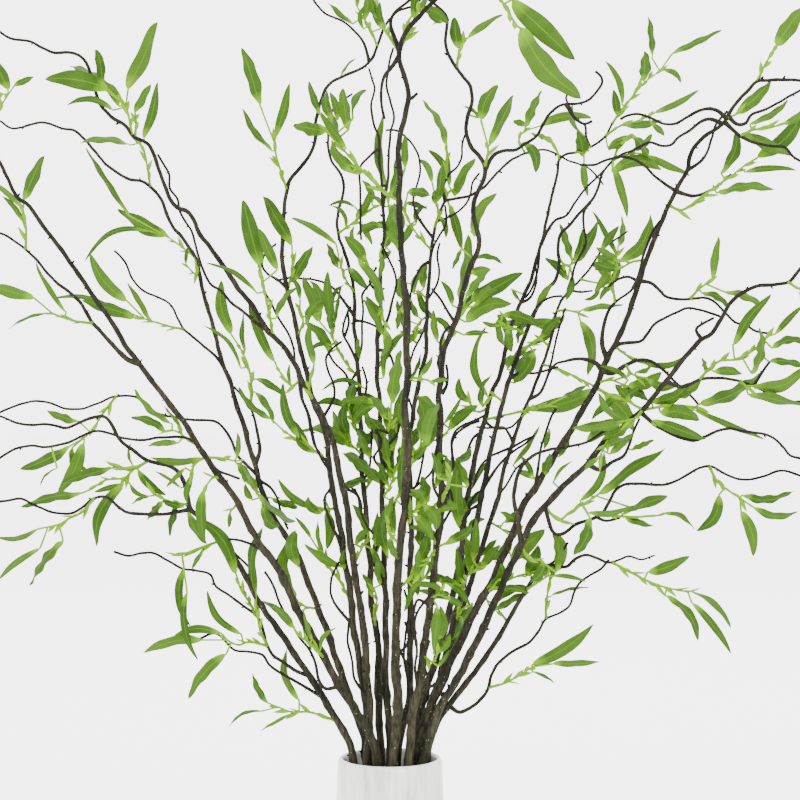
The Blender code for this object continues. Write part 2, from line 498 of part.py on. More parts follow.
        "route": ((423, 722), (438, 685), (450, 650), (462, 610), (472, 578), (482, 548), (490, 522),
                  (498, 495), (505, 468), (513, 442), (521, 418), (528, 400), (536, 381), (543, 365),
                  (549, 346), (554, 325), (559, 305), (568, 292), (580, 279), (592, 265), (602, 251),
                  (615, 240), (628, 230)),
        "twigs": (
            (16, 3.2, ((528, 398), (540, 393), (547, 378), (552, 358), (556, 340), (561, 322),
                       (566, 308))),
            (-16, 2.8, ((570, 290), (580, 292), (592, 291))),
            (-18, 2.8, ((512, 442), (505, 428), (496, 428), (486, 428), (476, 427))),
            (18, 2.8, ((492, 516), (496, 500), (506, 486), (515, 470), (524, 462))),
            (-14, 2.6, ((511, 448), (500, 452), (490, 457), (480, 468), (474, 485), (468, 492))),
            (12, 2.4, ((511, 448), (525, 440), (535, 435))),
        ),
        "sprigs": (
            (((558, 312), (566, 310), (578, 313)),
             ((580, 320, 588, 376, 13), (582, 310, 623, 305, 8), (564, 318, 534, 326, 12))),
            (((580, 279), (592, 282), (604, 284)),
             ((608, 284, 620, 262, 8), (604, 278, 598, 258, 9))),
            (((602, 251), (612, 262), (618, 252)),
             ((619, 262, 651, 214, 14), (612, 264, 592, 266, 9), (618, 246, 622, 216, 8),
              (600, 250, 618, 226, 9))),
            (((543, 365), (556, 368), (576, 377), (598, 388), (620, 400)),
             ((597, 389, 522, 408, 17), (604, 394, 634, 431, 16))),
            (((521, 418), (530, 410), (545, 406), (558, 400)), ((562, 398, 590, 384, 7),)),
            (((490, 522), (500, 528), (508, 534)),
             ((510, 536, 492, 560, 11), (504, 522, 522, 508, 8))),
            (((549, 346), (540, 340), (530, 345)), ((528, 346, 508, 366, 9),)),
        ),
    },
    "stem_14": {
        "mouth": (21, 13), "toward": 150, "thick": (10.0, 3.0),
        "route": ((424, 722), (438, 690), (453, 655), (470, 622), (484, 596), (497, 570), (508, 545),
                  (517, 522), (526, 500), (536, 486), (547, 470), (557, 453), (567, 437), (577, 418),
                  (588, 400), (598, 383), (602, 370), (607, 357), (617, 342), (625, 325), (632, 305),
                  (639, 282), (647, 258), (656, 234), (665, 211), (673, 195), (681, 181), (688, 170),
                  (690, 157), (694, 147), (704, 137), (718, 128), (727, 118), (735, 105), (745, 94),
                  (756, 82), (768, 80), (800, 81), (826, 84)),
        "twigs": (
            (-24, 3.4, ((727, 119), (718, 111), (708, 109), (697, 112), (686, 118), (675, 124),
                        (663, 123), (653, 118), (640, 114), (628, 115), (620, 119))),
            (20, 3.2, ((722, 124), (710, 119), (700, 122), (690, 130), (678, 137), (671, 144),
                       (662, 146), (650, 143), (640, 147), (628, 152))),
            (-16, 3.4, ((729, 117), (737, 124), (746, 123), (752, 114), (766, 109), (780, 102),
                        (792, 95), (810, 86))),
            (14, 3.2, ((724, 122), (733, 130), (742, 137), (754, 143), (770, 146), (785, 147),
                       (793, 156), (806, 164))),
            (-20, 3.4, ((675, 191), (684, 194), (694, 196), (705, 193), (718, 186), (731, 175))),
            (22, 3.8, ((676, 192), (665, 184), (655, 176), (645, 166), (634, 159), (621, 157),
                       (607, 160), (594, 165), (580, 164))),
            (16, 3.2, ((640, 280), (645, 262), (651, 246), (656, 228), (664, 216))),
            (18, 4.4, ((606, 358), (602, 344), (604, 325), (609, 310), (618, 299), (630, 291),
                       (638, 284))),
            (-14, 3.0, ((640, 281), (651, 283), (658, 289), (665, 296), (676, 299), (690, 299),
                        (704, 298), (713, 301), (722, 310), (734, 322), (746, 325), (756, 331),
                        (772, 333))),
            (24, 3.2, ((613, 349), (620, 344), (640, 341), (646, 334), (653, 325), (663, 319),
                       (676, 313), (688, 308), (702, 310), (722, 318))),
            (-18, 4.2, ((602, 370), (594, 362), (580, 359), (566, 361), (556, 364), (549, 374))),
            (14, 4.2, ((604, 371), (613, 373), (626, 365), (638, 361), (651, 362), (664, 371),
                       (674, 381), (686, 392), (698, 405))),
            (-22, 2.8, ((690, 172), (700, 162), (708, 150), (711, 138), (716, 124), (728, 111))),
            (20, 2.8, ((533, 487), (538, 470), (541, 450), (545, 432), (550, 418), (556, 408))),
        ),
        "sprigs": (
            (((757, 82), (766, 63), (775, 48)), ((776, 46, 806, 4, 17),)),
            (((728, 118), (735, 115)), ((737, 113, 771, 80, 13),)),
            (((741, 136), (752, 130), (764, 129), (780, 125)),
             ((750, 124, 788, 100, 8), (742, 133, 792, 156, 14), (784, 124, 806, 108, 8))),
            (((668, 205), (682, 210), (700, 198), (715, 187), (730, 177), (745, 165)),
             ((717, 193, 774, 190, 12), (721, 173, 736, 130, 12), (745, 172, 796, 170, 7),
              (757, 158, 805, 108, 16))),
            (((690, 298), (698, 290), (706, 284)),
             ((712, 279, 718, 236, 9), (702, 293, 729, 309, 9), (725, 292, 763, 308, 11))),
            (((612, 300), (613, 284), (617, 264)), ((618, 262, 596, 248, 9),)),
            (((646, 260), (632, 262), (622, 268)), ((620, 268, 594, 262, 9),)),
            (((615, 346), (628, 356), (640, 360)), ((642, 362, 692, 353, 7),)),
            (((598, 383), (610, 380), (624, 385)),
             ((628, 386, 662, 372, 13), (620, 390, 648, 400, 11))),
            (((508, 545), (516, 535), (520, 528)),
             ((512, 560, 545, 530, 17), (521, 525, 500, 512, 8))),
            (((484, 596), (492, 588), (498, 580)), ((500, 590, 528, 594, 8),)),
            (((626, 365), (632, 374), (645, 378)), ((648, 380, 676, 386, 10),)),
            (((490, 597), (503, 583), (515, 577), (530, 573), (545, 571)),
             ((526, 576, 538, 545, 14), (556, 570, 553, 530, 12), (492, 612, 530, 592, 10))),
        ),
    },
    "stem_15": {
        "mouth": (41, 3), "toward": 60, "thick": (8.0, 2.0),
        "route": ((436, 724), (448, 706), (461, 690), (475, 672), (487, 656), (498, 640), (508, 622),
                  (520, 602), (527, 590), (534, 577), (541, 568), (549, 565), (560, 567), (569, 565),
                  (578, 557), (588, 555), (599, 559), (608, 563), (620, 560), (630, 556), (642, 559),
                  (654, 555)),
        "twigs": (
            (20, 3.4, ((449, 705), (458, 712), (466, 710), (476, 704), (484, 696), (489, 686),
                       (492, 674), (499, 663), (514, 651), (530, 642), (539, 632), (546, 619),
                       (560, 613), (570, 606), (574, 592), (580, 583), (591, 575), (601, 569),
                       (609, 560))),
            (-14, 2.6, ((536, 574), (546, 567), (556, 560), (563, 550), (568, 542))),
        ),
        "sprigs": (
            (((489, 688), (505, 683), (520, 675), (532, 667)),
             ((532, 665, 594, 624, 13), (552, 664, 600, 662, 8))),
            (((612, 563), (632, 573), (650, 582), (668, 588), (688, 592)),
             ((648, 572, 689, 556, 12), (691, 591, 731, 628, 8), (665, 595, 698, 641, 10),
              (692, 603, 731, 654, 8))),
            (((546, 619), (546, 603), (549, 587)),
             ((550, 597, 589, 588, 5), (549, 582, 566, 560, 5))),
            (((527, 590), (540, 581), (548, 576)),
             ((549, 572, 522, 558, 10), (552, 576, 586, 582, 5))),
            (((508, 622), (500, 612), (496, 606)), ((497, 602, 530, 588, 10),)),
        ),
    },
    "stem_16": {
        "mouth": (36, 20), "toward": 230, "thick": (9.5, 3.2),
        "route": ((434, 722), (450, 692), (467, 660), (482, 630), (496, 600), (510, 570), (521, 545),
                  (534, 520), (548, 502), (562, 487), (577, 474), (590, 462), (600, 447), (612, 434),
                  (626, 425), (642, 410), (656, 395), (670, 377), (682, 361), (693, 347), (700, 339),
                  (712, 333), (721, 320), (729, 305), (741, 294), (758, 287), (775, 286), (789, 283),
                  (798, 273), (808, 256)),
        "twigs": (
            (-18, 3.4, ((545, 506), (552, 530), (562, 534), (576, 525), (592, 519), (602, 513),
                        (609, 502), (616, 490), (626, 484), (640, 484), (656, 485), (670, 483),
                        (682, 477), (694, 470), (706, 466), (714, 468), (724, 474), (737, 479),
                        (750, 479), (764, 476), (780, 471), (796, 474), (812, 480))),
            (22, 4.4, ((521, 545), (518, 520), (514, 495), (520, 470), (532, 456), (548, 450),
                       (568, 447), (588, 441), (605, 431), (620, 423))),
            (-22, 4.0, ((588, 464), (600, 470), (612, 462), (622, 456), (629, 444), (634, 430),
                        (639, 419))),
            (26, 3.4, ((640, 412), (654, 424), (666, 431), (680, 438), (694, 441), (706, 437),
                       (718, 431), (731, 429), (746, 432), (762, 434), (774, 438), (783, 447),
                       (791, 456), (808, 461))),
            (-20, 3.2, ((667, 381), (682, 387), (700, 380), (720, 378), (740, 381), (757, 388),
                        (772, 396), (787, 402), (808, 400))),
            (14, 2.8, ((701, 338), (696, 330), (702, 324), (713, 318))),
            (-12, 2.6, ((596, 516), (606, 521), (620, 518))),
            (18, 2.6, ((760, 370), (770, 362), (782, 360), (800, 364))),
        ),
        "sprigs": (
            (((642, 411), (654, 408), (672, 405), (695, 407)),
             ((700, 404, 762, 373, 17), (694, 410, 765, 440, 7), (652, 402, 690, 382, 13),
              (660, 412, 700, 420, 15), (672, 398, 702, 378, 12))),
            (((643, 410), (634, 405), (622, 398)),
             ((618, 396, 592, 420, 9), (630, 400, 616, 384, 9), (624, 404, 640, 388, 9))),
            (((643, 411), (636, 418), (628, 420)),
             ((626, 421, 573, 428, 12), (632, 424, 602, 440, 13))),
            (((652, 422), (656, 426)), ((654, 420, 706, 439, 12),)),
            (((740, 381), (746, 386)),
             ((752, 386, 806, 366, 14), (748, 394, 802, 405, 13))),
            (((700, 380), (708, 370), (720, 361), (738, 359), (755, 349), (768, 336)),
             ((733, 345, 771, 294, 11), (752, 374, 760, 328, 13), (775, 334, 803, 305, 7),
              (772, 348, 808, 344, 10), (768, 361, 810, 368, 10), (706, 372, 702, 358, 7),
              (714, 372, 742, 374, 10))),
            (((545, 506), (558, 520), (570, 512), (580, 506), (596, 496)),
             ((599, 494, 666, 448, 13), (580, 501, 604, 452, 8), (588, 513, 632, 507, 7),
              (633, 508, 668, 496, 12), (590, 518, 573, 555, 14))),
            (((602, 514), (616, 516), (634, 517), (656, 516)),
             ((626, 519, 654, 526, 8), (664, 513, 694, 529, 7), (622, 514, 648, 502, 8))),
            (((709, 467), (717, 481), (728, 490), (740, 498)),
             ((719, 495, 696, 531, 12), (742, 495, 793, 491, 11), (753, 507, 798, 512, 9),
              (741, 511, 753, 556, 12))),
            (((521, 545), (528, 558), (540, 560)),
             ((544, 562, 530, 582, 12), (556, 572, 553, 531, 12))),
            (((789, 283), (797, 288), (806, 290)),
             ((810, 290, 846, 296, 10), (800, 294, 812, 326, 9))),
            (((612, 434), (606, 444), (600, 456)),
             ((598, 458, 584, 470, 6), (606, 446, 632, 436, 10))),
        ),
    },
}


def clear_scene():
    for item in list(bpy.data.objects):
        bpy.data.objects.remove(item)


def material(name, color, roughness):
    surface = bpy.data.materials.new(name)
    surface.use_nodes = True
    shader = surface.node_tree.nodes["Principled BSDF"]
    shader.inputs["Base Color"].default_value = color
    shader.inputs["Roughness"].default_value = roughness
    return surface


def place(x, y, toward):
    """The point of space that the eye sees at (x, y) of the drawing, that far toward it."""
    shrink = 1.0 - toward / 1000.0 / EYE_DISTANCE
    eye_height = VASE_HEIGHT + (RIM_Y - EYE_Y) * STEP
    right = (EYE_X - AXIS_X) * STEP + (x - EYE_X) * STEP * shrink
    return Vector((right, -toward / 1000.0, eye_height - (y - EYE_Y) * STEP * shrink))


def nearest(branches, x, y):
    """The drawing place nearest to (x, y) on any of the branches: x, y, toward, thickness."""
    best = None
    for branch in branches:
        for start, end in zip(branch, branch[1:]):
            run = (end[0] - start[0], end[1] - start[1])
            length = max(run[0] ** 2 + run[1] ** 2, 1e-6)
            share = ((x - start[0]) * run[0] + (y - start[1]) * run[1]) / length
            share = min(max(share, 0.0), 1.0)
            spot = [a + (b - a) * share for a, b in zip(start, end)]
            reach = math.hypot(spot[0] - x, spot[1] - y)
            if best is None or reach < best[0]:
                best = (reach, spot)
    return best[1]


def drawn_branch(route, toward, thick, wave, phase, power=1.0):
    """Gives each point of a route its way toward the eye and its thickness."""
    reach = [0.0]
    for start, end in zip(route, route[1:]):
        reach.append(reach[-1] + math.dist(start, end))
    points = []
    for spot, run in zip(route, reach):
        share = run / reach[-1]
        sway = wave * min(share * 4.0, 1.0)
        sway *= math.sin(run * STEP * 1000.0 / WAVE_LENGTH * math.tau + phase) - math.sin(phase)
        depth = toward[0] + (toward[1] - toward[0]) * share ** power + sway
        points.append((spot[0], spot[1], depth, thick[0] + (thick[1] - thick[0]) * share))
    return points


def thin_out(points, radii, slack):
    """Leaves out the points that a route does not need to stay within the slack of itself."""
    kept = {0, len(points) - 1}
    spans = [(0, len(points) - 1)]
    while spans:
        first, last = spans.pop()
        farthest = (slack, None)
        for index in range(first + 1, last):
            foot, _ = intersect_point_line(points[index], points[first], points[last])
            farthest = max(farthest, ((points[index] - foot).length, index), key=lambda pair: pair[0])
        if farthest[1] is not None:
            kept.add(farthest[1])
            spans += [(first, farthest[1]), (farthest[1], last)]
    return [points[index] for index in sorted(kept)], [radii[index] for index in sorted(kept)]


def beads(points, radii):
    """Balls along a route, close enough together to stand for it."""
    chain = []
    for start, end, first, last in zip(points, points[1:], radii, radii[1:]):
        count = max(int((end - start).length / 0.004), 1)
        for index in range(count + 1):
            share = index / count
            chain.append((start.lerp(end, share), first + (last - first) * share))
    return chain


class Space:
    """Remembers what is already grown, so that nothing else grows through it."""

    def __init__(self):
        self.cells = {}

    def add(self, chain, owner):
        for spot, radius in chain:
            key = tuple(int(math.floor(value / CELL)) for value in spot)
            self.cells.setdefault(key, []).append((spot, radius, owner))

    def is_free(self, chain, owner, near):
        """Whether the chain is clear of the other stems, and beyond its root of its own one too."""
        for spot, radius in chain:
            beyond = (spot - chain[0][0]).length > near
            home = [int(math.floor(value / CELL)) for value in spot]
            for shift in range(27):
                key = (home[0] + shift % 3 - 1, home[1] + shift // 3 % 3 - 1, home[2] + shift // 9 - 1)
                for other, size, name in self.cells.get(key, ()):
                    if (beyond or name != owner) and (other - spot).length < size + radius + GAP:
                        return False
        return True


def branch_shape(drawn):
    points = [place(*spot[:3]) for spot in drawn]
    return points, [spot[3] / 2000.0 for spot in drawn]


def grow_stem(space, name, plan, dice):
    """The main stem: it stands on the vase's floor, rises through the mouth and follows its route."""
    right, toward = plan["mouth"]
    rim = (AXIS_X + right / 1000.0 / STEP, RIM_Y)
    route = (rim,) + plan["route"]
    phase = dice.uniform(0.0, math.tau)
    drawn = drawn_branch(route, (toward, plan["toward"]), plan["thick"], STEM_WAVE, phase, STEM_LEAN_POWER)
    points, radii = branch_shape(drawn)
    foot = Vector((right / 1000.0, -toward / 1000.0, FLOOR_THICKNESS + SEAT_GAP))
    low = Vector((foot.x, foot.y, VASE_HEIGHT * 0.75))
    points[0] = Vector((foot.x, foot.y, VASE_HEIGHT - 0.004))
    points = [foot, low] + points
    radii = [radii[0], radii[0]] + radii
    space.add(beads(*thin_out(points, radii, STEM_SLACK)), name)
    return drawn, (points, radii)


def grow_twig(space, name, plan, drawn, dice):
    toward, thick, route = plan
    root = nearest(drawn, *route[0])
    phase = dice.uniform(0.0, math.tau)
    thick = min(thick, root[3] * 0.8)
    route = (tuple(root[:2]),) + route[1:]
    for near, shift in product((0.030, 9.0), TOWARD_TRIES):
        ends = (root[2], root[2] + toward + shift)
        found = drawn_branch(route, ends, (thick, TWIG_TIP), TWIG_WAVE, phase)
        points, radii = branch_shape(found)
        chain = beads(*thin_out(points, radii, TWIG_SLACK))
        if space.is_free(chain, name, near):
            space.add(chain, name)
            return found, (points, radii)
    print("no room for a twig of", name, "at", route[0])
    return None


def leaf_line(base, tip, growth, roll, width):
    """A leaf's blade, which sets out along the growth of its sprig and bends over to its tip."""
    run = tip - base
    side = run.cross(Vector((0.0, -1.0, 0.0))).normalized()
    side.rotate(Matrix.Rotation(roll, 3, run.normalized()).to_quaternion())
    bow = (growth - run.normalized() * growth.dot(run.normalized())) * run.length * LEAF_BOW
    shape = ((0.42, 1.0), (1.0, 0.0))
    if run.length > LARGE_LEAF:
        shape = ((0.30, 0.90), (0.70, 0.76), (1.0, 0.0))
    points = [base + run * share + bow * (4.0 * share * (1.0 - share)) for share, _ in shape]
    return points, [width * part / 2.0 for _, part in shape], side


def grow_leaf(space, name, plan, drawn, dice):
    x, y, tip_x, tip_y, wide = plan
    root = nearest([drawn], x, y)
    tilt = dice.uniform(-0.3, 0.3)
    roll = dice.uniform(-0.75, 0.75)
    reach = math.hypot(tip_x - x, tip_y - y)
    stalk = math.hypot(root[0] - x, root[1] - y)
    start = place(*root[:3])
    growth = (place(*drawn[-1][:3]) - place(*drawn[0][:3])).normalized()
    for share, turn in product((0.30, 0.45), LEAF_TRIES):
        base_toward = root[2] + stalk * (tilt + turn) * 0.5
        base = place(x, y, base_toward)
        tip = place(tip_x, tip_y, base_toward + reach * (tilt + turn))
        shrink = 1.0 - base_toward / 1000.0 / EYE_DISTANCE
        points, radii, side = leaf_line(base, tip, growth, roll, wide * STEP * shrink)
        chain = beads([start] + points, [STALK / 2.0] + radii)
        if space.is_free(chain, name, share * (tip - start).length):
            space.add(chain, name)
            return start, points, radii, side
    print("no room for a leaf of", name, "at", (x, y))
    return None


def grow_sprig(space, name, plan, drawn, dice):
    route, leaf_plans = plan
    root = nearest(drawn, *route[0])
    route = (tuple(root[:2]),) + route[1:]
    phase = dice.uniform(0.0, math.tau)
    lean = dice.uniform(-18.0, 18.0)
    for near, shift in product((0.012, 9.0), TOWARD_TRIES):
        ends = (root[2], root[2] + lean + shift)
        found = drawn_branch(route, ends, (SPRIG_ROOT, SPRIG_TIP), 2.0, phase)
        points, radii = branch_shape(found)
        chain = beads(*thin_out(points, radii, SPRIG_SLACK))
        if space.is_free(chain, name, near):
            space.add(chain, name)
            leaves = [grow_leaf(space, name, leaf, found, dice) for leaf in leaf_plans]
            return found, (points, radii), [leaf for leaf in leaves if leaf]
    print("no room for a sprig of", name, "at", route[0])
    return None


def grow_all():
    """Every stem first, then the twigs, then the sprigs with their leaves."""
    dice = random.Random(SEED)
    space = Space()
    drawn = {}
    plants = {}
    for name, plan in STEMS.items():
        line, shape = grow_stem(space, name, plan, dice)
        drawn[name] = [line]
        plants[name] = {"stem": shape, "twigs": [], "sprigs": []}
    for name, plan in STEMS.items():
        for twig in plan["twigs"]:
            grown = grow_twig(space, name, twig, drawn[name], dice)
            if grown:
                drawn[name].append(grown[0])
                plants[name]["twigs"].append(grown[1])
    for name, plan in STEMS.items():
        for sprig in plan["sprigs"]:
            grown = grow_sprig(space, name, sprig, drawn[name], dice)
            if grown:
                plants[name]["sprigs"].append(grown[1:])
    return plants


def seat(spot, lines):
    """The point nearest to the spot on any of the lines."""
    best = None
    for points, _ in lines:
        for start, end in zip(points, points[1:]):
            foot, share = intersect_point_line(spot, start, end)
            foot = start.lerp(end, min(max(share, 0.0), 1.0))
            if best is None or (foot - spot).length < best[0]:
                best = ((foot - spot).length, foot)
    return best[1]


def loft(frames, corners, pointed=False):
    """Extrudes a ring of corners from frame to frame, and closes both ends."""
    shape = bmesh.new()
    cap = shape.faces.new([shape.verts.new(frames[0] @ corner) for corner in corners])
    for index, frame in enumerate(frames[1:]):
        made = bmesh.ops.extrude_face_region(shape, geom=[cap])["geom"]
        if index:
            bmesh.ops.delete(shape, geom=[cap], context="FACES_ONLY")
        cap = next(item for item in made if isinstance(item, bmesh.types.BMFace))
        for vert, corner in zip(cap.verts, corners):
            vert.co = frame @ corner
    if pointed:
        bmesh.ops.pointmerge(shape, verts=list(cap.verts), merge_co=frames[-1].translation)
    bmesh.ops.recalc_face_normals(shape, faces=shape.faces)
    bmesh.ops.triangulate(shape, faces=shape.faces)
    return shape


def frames_along(points, halves, depths, side=Vector((1.0, 0.0, 0.0))):
    """A frame across the route at each point, carried along without twist: X wide, Y deep."""
    frames = []
    for index, spot in enumerate(points):
        before = points[max(index - 1, 0)]
        after = points[min(index + 1, len(points) - 1)]
        run = (after - before).normalized()
        side = (side - run * side.dot(run)).normalized()
        deep = run.cross(side)
        frame = Matrix((side * halves[index], deep * depths[index], run)).transposed().to_4x4()
        frame.translation = spot
        frames.append(frame)
    return frames


def ring(sides):
    turns = [math.tau * (index / sides - 0.25) for index in range(sides)]
    return [Vector((math.cos(turn), math.sin(turn), 0.0)) for turn in turns]


def blade_loft(points, radii, leaf):
    """A closed leaf that grows on from the end of the given route."""
    _, blade, widths, side = leaf
    halves = radii + [max(width * 1.15, STALK * 0.6) for width in widths]
    depths = radii + [RIB * 0.67] * len(widths)
    return loft(frames_along(points + blade, halves, depths, side), ring(TWIG_SIDES), pointed=True)


def mesh_object(name, shape, surface=None):
    mesh = bpy.data.meshes.new(name)
    shape.to_mesh(mesh)
    shape.free()
    if surface:
        mesh.materials.append(surface)
    item = bpy.data.objects.new(name, mesh)
    return item


def drop_specks(shape):
    """Deletes the flat specks that a union can leave beside its body."""
    rest = set(shape.verts)
    while rest:
        shell, heap = set(), [rest.pop()]
        while heap:
            spot = heap.pop()
            shell.add(spot)
            joined = {vert for edge in spot.link_edges for vert in edge.verts} & rest
            rest -= joined
            heap.extend(joined)
        if len(shell) < SPECK_CORNERS:
            bmesh.ops.delete(shape, geom=list(shell), context="VERTS")


def level_faces(mesh):
    """Merges the splinters of each flat face, as far as the body stays closed."""
    for angle in LEVEL_ANGLES:
        shape = bmesh.new()
        shape.from_mesh(mesh)
        drop_specks(shape)
        bmesh.ops.dissolve_limit(shape, angle_limit=math.radians(angle), verts=shape.verts,
                                 edges=shape.edges)
        bmesh.ops.triangulate(shape, faces=shape.faces)
        closed = all(len(edge.link_faces) == 2 for edge in shape.edges)
        if closed:
            shape.to_mesh(mesh)
        shape.free()
        if closed:
            return


def fuse(base, group, name):
    """Joins a collection of closed shapes to the base shape in one union."""
    union = base.modifiers.new("union", "BOOLEAN")
    union.operation = "UNION"
    union.operand_type = "COLLECTION"
    union.collection = group
    union.solver = "MANIFOLD"
    graph = bpy.context.evaluated_depsgraph_get()
    joined = bpy.data.meshes.new_from_object(base.evaluated_get(graph))
    base.modifiers.remove(union)
    level_faces(joined)
    base.data = joined
    base.data.name = name
    for item in list(group.objects):
        bpy.data.objects.remove(item)
    bpy.data.collections.remove(group)


def add_branch(group, name, shape, parents):
    points, radii = thin_out(*shape, TWIG_SLACK)
    points[0] = seat(points[0], parents)
    tube = loft(frames_along(points, radii, radii), ring(TWIG_SIDES))
    group.objects.link(mesh_object(name + "_branch", tube))
    return points, radii


def add_sprig(group, name, shape, leaves, parents):
    """A green sprig that runs out into its end leaf, with side leaves one behind the other."""
    points, radii = thin_out(*shape, SPRIG_SLACK)
    points[0] = seat(points[0], parents)
    growth = (points[-1] - points[-2]).normalized()
    ends = [leaf for leaf in leaves if (leaf[0] - points[-1]).length < SEAT_GAP
            and growth.dot((leaf[1][-1] - leaf[0]).normalized()) > 0.4][:1]
    if ends:
        tube = blade_loft(points, radii, ends[0])
    else:
        tube = loft(frames_along(points, radii, radii), ring(TWIG_SIDES))
    group.objects.link(mesh_object(name + "_sprig", tube))
    side_leaves = [leaf for leaf in leaves if leaf not in ends]
    for index, leaf in enumerate(side_leaves):
        root = seat(leaf[0].lerp(points[0], 0.07 + 0.05 * index), [(points, radii)])
        blade = blade_loft([root], [STALK / 2.0], leaf)
        group.objects.link(mesh_object(name + "_leaf", blade))


def build_stem(name, plant, bark):
    lines = [thin_out(*plant["stem"], STEM_SLACK)]
    points, radii = lines[0]
    stem = mesh_object(name, loft(frames_along(points, radii, radii), ring(STEM_SIDES)), bark)
    bpy.context.scene.collection.objects.link(stem)
    group = bpy.data.collections.new(name + "_growth")
    bpy.context.scene.collection.children.link(group)
    for twig in plant["twigs"]:
        lines.append(add_branch(group, name, twig, lines))
    for sprig, leaves in plant["sprigs"]:
        add_sprig(group, name, sprig, leaves, lines)
    fuse(stem, group, name)
    stem.data.shade_smooth()
    stem.data.set_sharp_from_angle(angle=math.radians(50.0))


def build_vase(surface):
    """One turned wall with a rounded lip, and a flat bottom."""
    outer = ((0.0, 0.0), (BELLY_RADIUS - 0.006, 0.0), (BELLY_RADIUS - 0.0015, 0.0035),
             (BELLY_RADIUS, 0.012), (BELLY_RADIUS, 0.060), (RIM_RADIUS + 0.0030, 0.165),
             (RIM_RADIUS, VASE_HEIGHT - 0.0060), (RIM_RADIUS - 0.0012, VASE_HEIGHT - 0.0015),
             (RIM_RADIUS - 0.0034, VASE_HEIGHT))
    inner = ((MOUTH_RADIUS + 0.0010, VASE_HEIGHT - 0.0012), (MOUTH_RADIUS, VASE_HEIGHT - 0.0050),
             (MOUTH_RADIUS + 0.0030, 0.165), (BELLY_RADIUS - 0.0065, 0.060),
             (BELLY_RADIUS - 0.0070, 0.016), (BELLY_RADIUS - 0.0110, FLOOR_THICKNESS),
             (0.0, FLOOR_THICKNESS))
    shape = bmesh.new()
    verts = [shape.verts.new((radius, 0.0, height)) for radius, height in outer + inner]
    edges = [shape.edges.new(pair) for pair in zip(verts, verts[1:])]
    bmesh.ops.spin(shape, geom=verts + edges, cent=(0, 0, 0), axis=(0, 0, 1), angle=math.tau,
                   steps=VASE_STEPS, use_merge=True)
    bmesh.ops.remove_doubles(shape, verts=shape.verts, dist=0.00001)
    bmesh.ops.recalc_face_normals(shape, faces=shape.faces)
    vase = mesh_object("vase", shape, surface)
    bpy.context.scene.collection.objects.link(vase)
    vase.data.shade_smooth()
    vase.data.set_sharp_from_angle(angle=math.radians(50.0))


def main():
    clear_scene()
    build_vase(material("glaze", VASE_COLOR, 0.45))
    bark = material("bark", BARK_COLOR, 0.75)
    for name, plant in grow_all().items():
        build_stem(name, plant, bark)


main()
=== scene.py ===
from itertools import product
import math
import random
import bmesh
import bpy
from mathutils import Matrix, Vector, noise
from mathutils.geometry import intersect_point_line


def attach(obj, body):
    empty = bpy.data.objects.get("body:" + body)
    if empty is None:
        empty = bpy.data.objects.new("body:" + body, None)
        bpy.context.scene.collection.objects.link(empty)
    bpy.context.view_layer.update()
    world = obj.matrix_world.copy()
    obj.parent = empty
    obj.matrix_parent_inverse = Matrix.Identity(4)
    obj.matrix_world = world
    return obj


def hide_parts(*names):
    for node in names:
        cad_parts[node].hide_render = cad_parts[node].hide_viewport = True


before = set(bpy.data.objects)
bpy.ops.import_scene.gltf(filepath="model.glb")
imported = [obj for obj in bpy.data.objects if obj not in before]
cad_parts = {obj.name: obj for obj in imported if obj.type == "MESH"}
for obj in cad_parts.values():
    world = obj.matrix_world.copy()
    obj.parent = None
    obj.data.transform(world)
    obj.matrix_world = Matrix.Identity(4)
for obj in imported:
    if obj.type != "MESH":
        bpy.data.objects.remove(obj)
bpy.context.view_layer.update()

print("frame loaded:", len(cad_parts), "nodes")

# The drawing seen from the front: x runs right and y down, one step is 1.1 mm in the plane of the vase's
# axis, and the eye stands level with eyeY. "Toward" is the way from that plane to the eye, in mm.
drawing = {"step": 0.0011, "axisX": 390.0, "eyeX": 400.0, "eyeY": 400.0, "rimY": 757.0, "eyeDistance": 2.0}
vaseSize = {"height": 0.250, "rim": 0.0574, "mouth": 0.0512, "belly": 0.0630, "floor": 0.010, "steps": 96}
growth = {"seed": 11, "seat": 0.0003, "leanPower": 1.25, "stemWave": 9.0, "twigWave": 6.0,
          "waveLength": 120.0, "twigTip": 1.7, "sprigRoot": 2.0, "sprigTip": 1.3, "stalk": 0.0014,
          "gap": 0.0018, "fineGap": 0.0006, "stemSlack": 0.0060, "twigSlack": 0.0065, "sprigSlack": 0.0075,
          "largeLeaf": 0.085, "bow": 0.13, "cell": 0.03, "beadStep": 0.004, "woodPenalty": 6.0,
          "straightPart": 0.75, "belowRim": 0.004, "twigShare": 0.8, "sprigWave": 2.0, "sprigLean": 18.0,
          "leafTilt": 0.3, "leafRoll": 0.75,
          "twigClear": (0.030, 9.0), "sprigClear": (0.012, 9.0), "leafClear": (0.30, 0.45),
          "towardTries": (0, 22, -22, 44, -44, 66, -66, 90, -90),
          "leafTries": (0, 0.25, -0.25, 0.5, -0.5, 0.8, -0.8, 1.1, -1.1)}
noise.seed_set(growth["seed"])  # every run bends the bark the same way

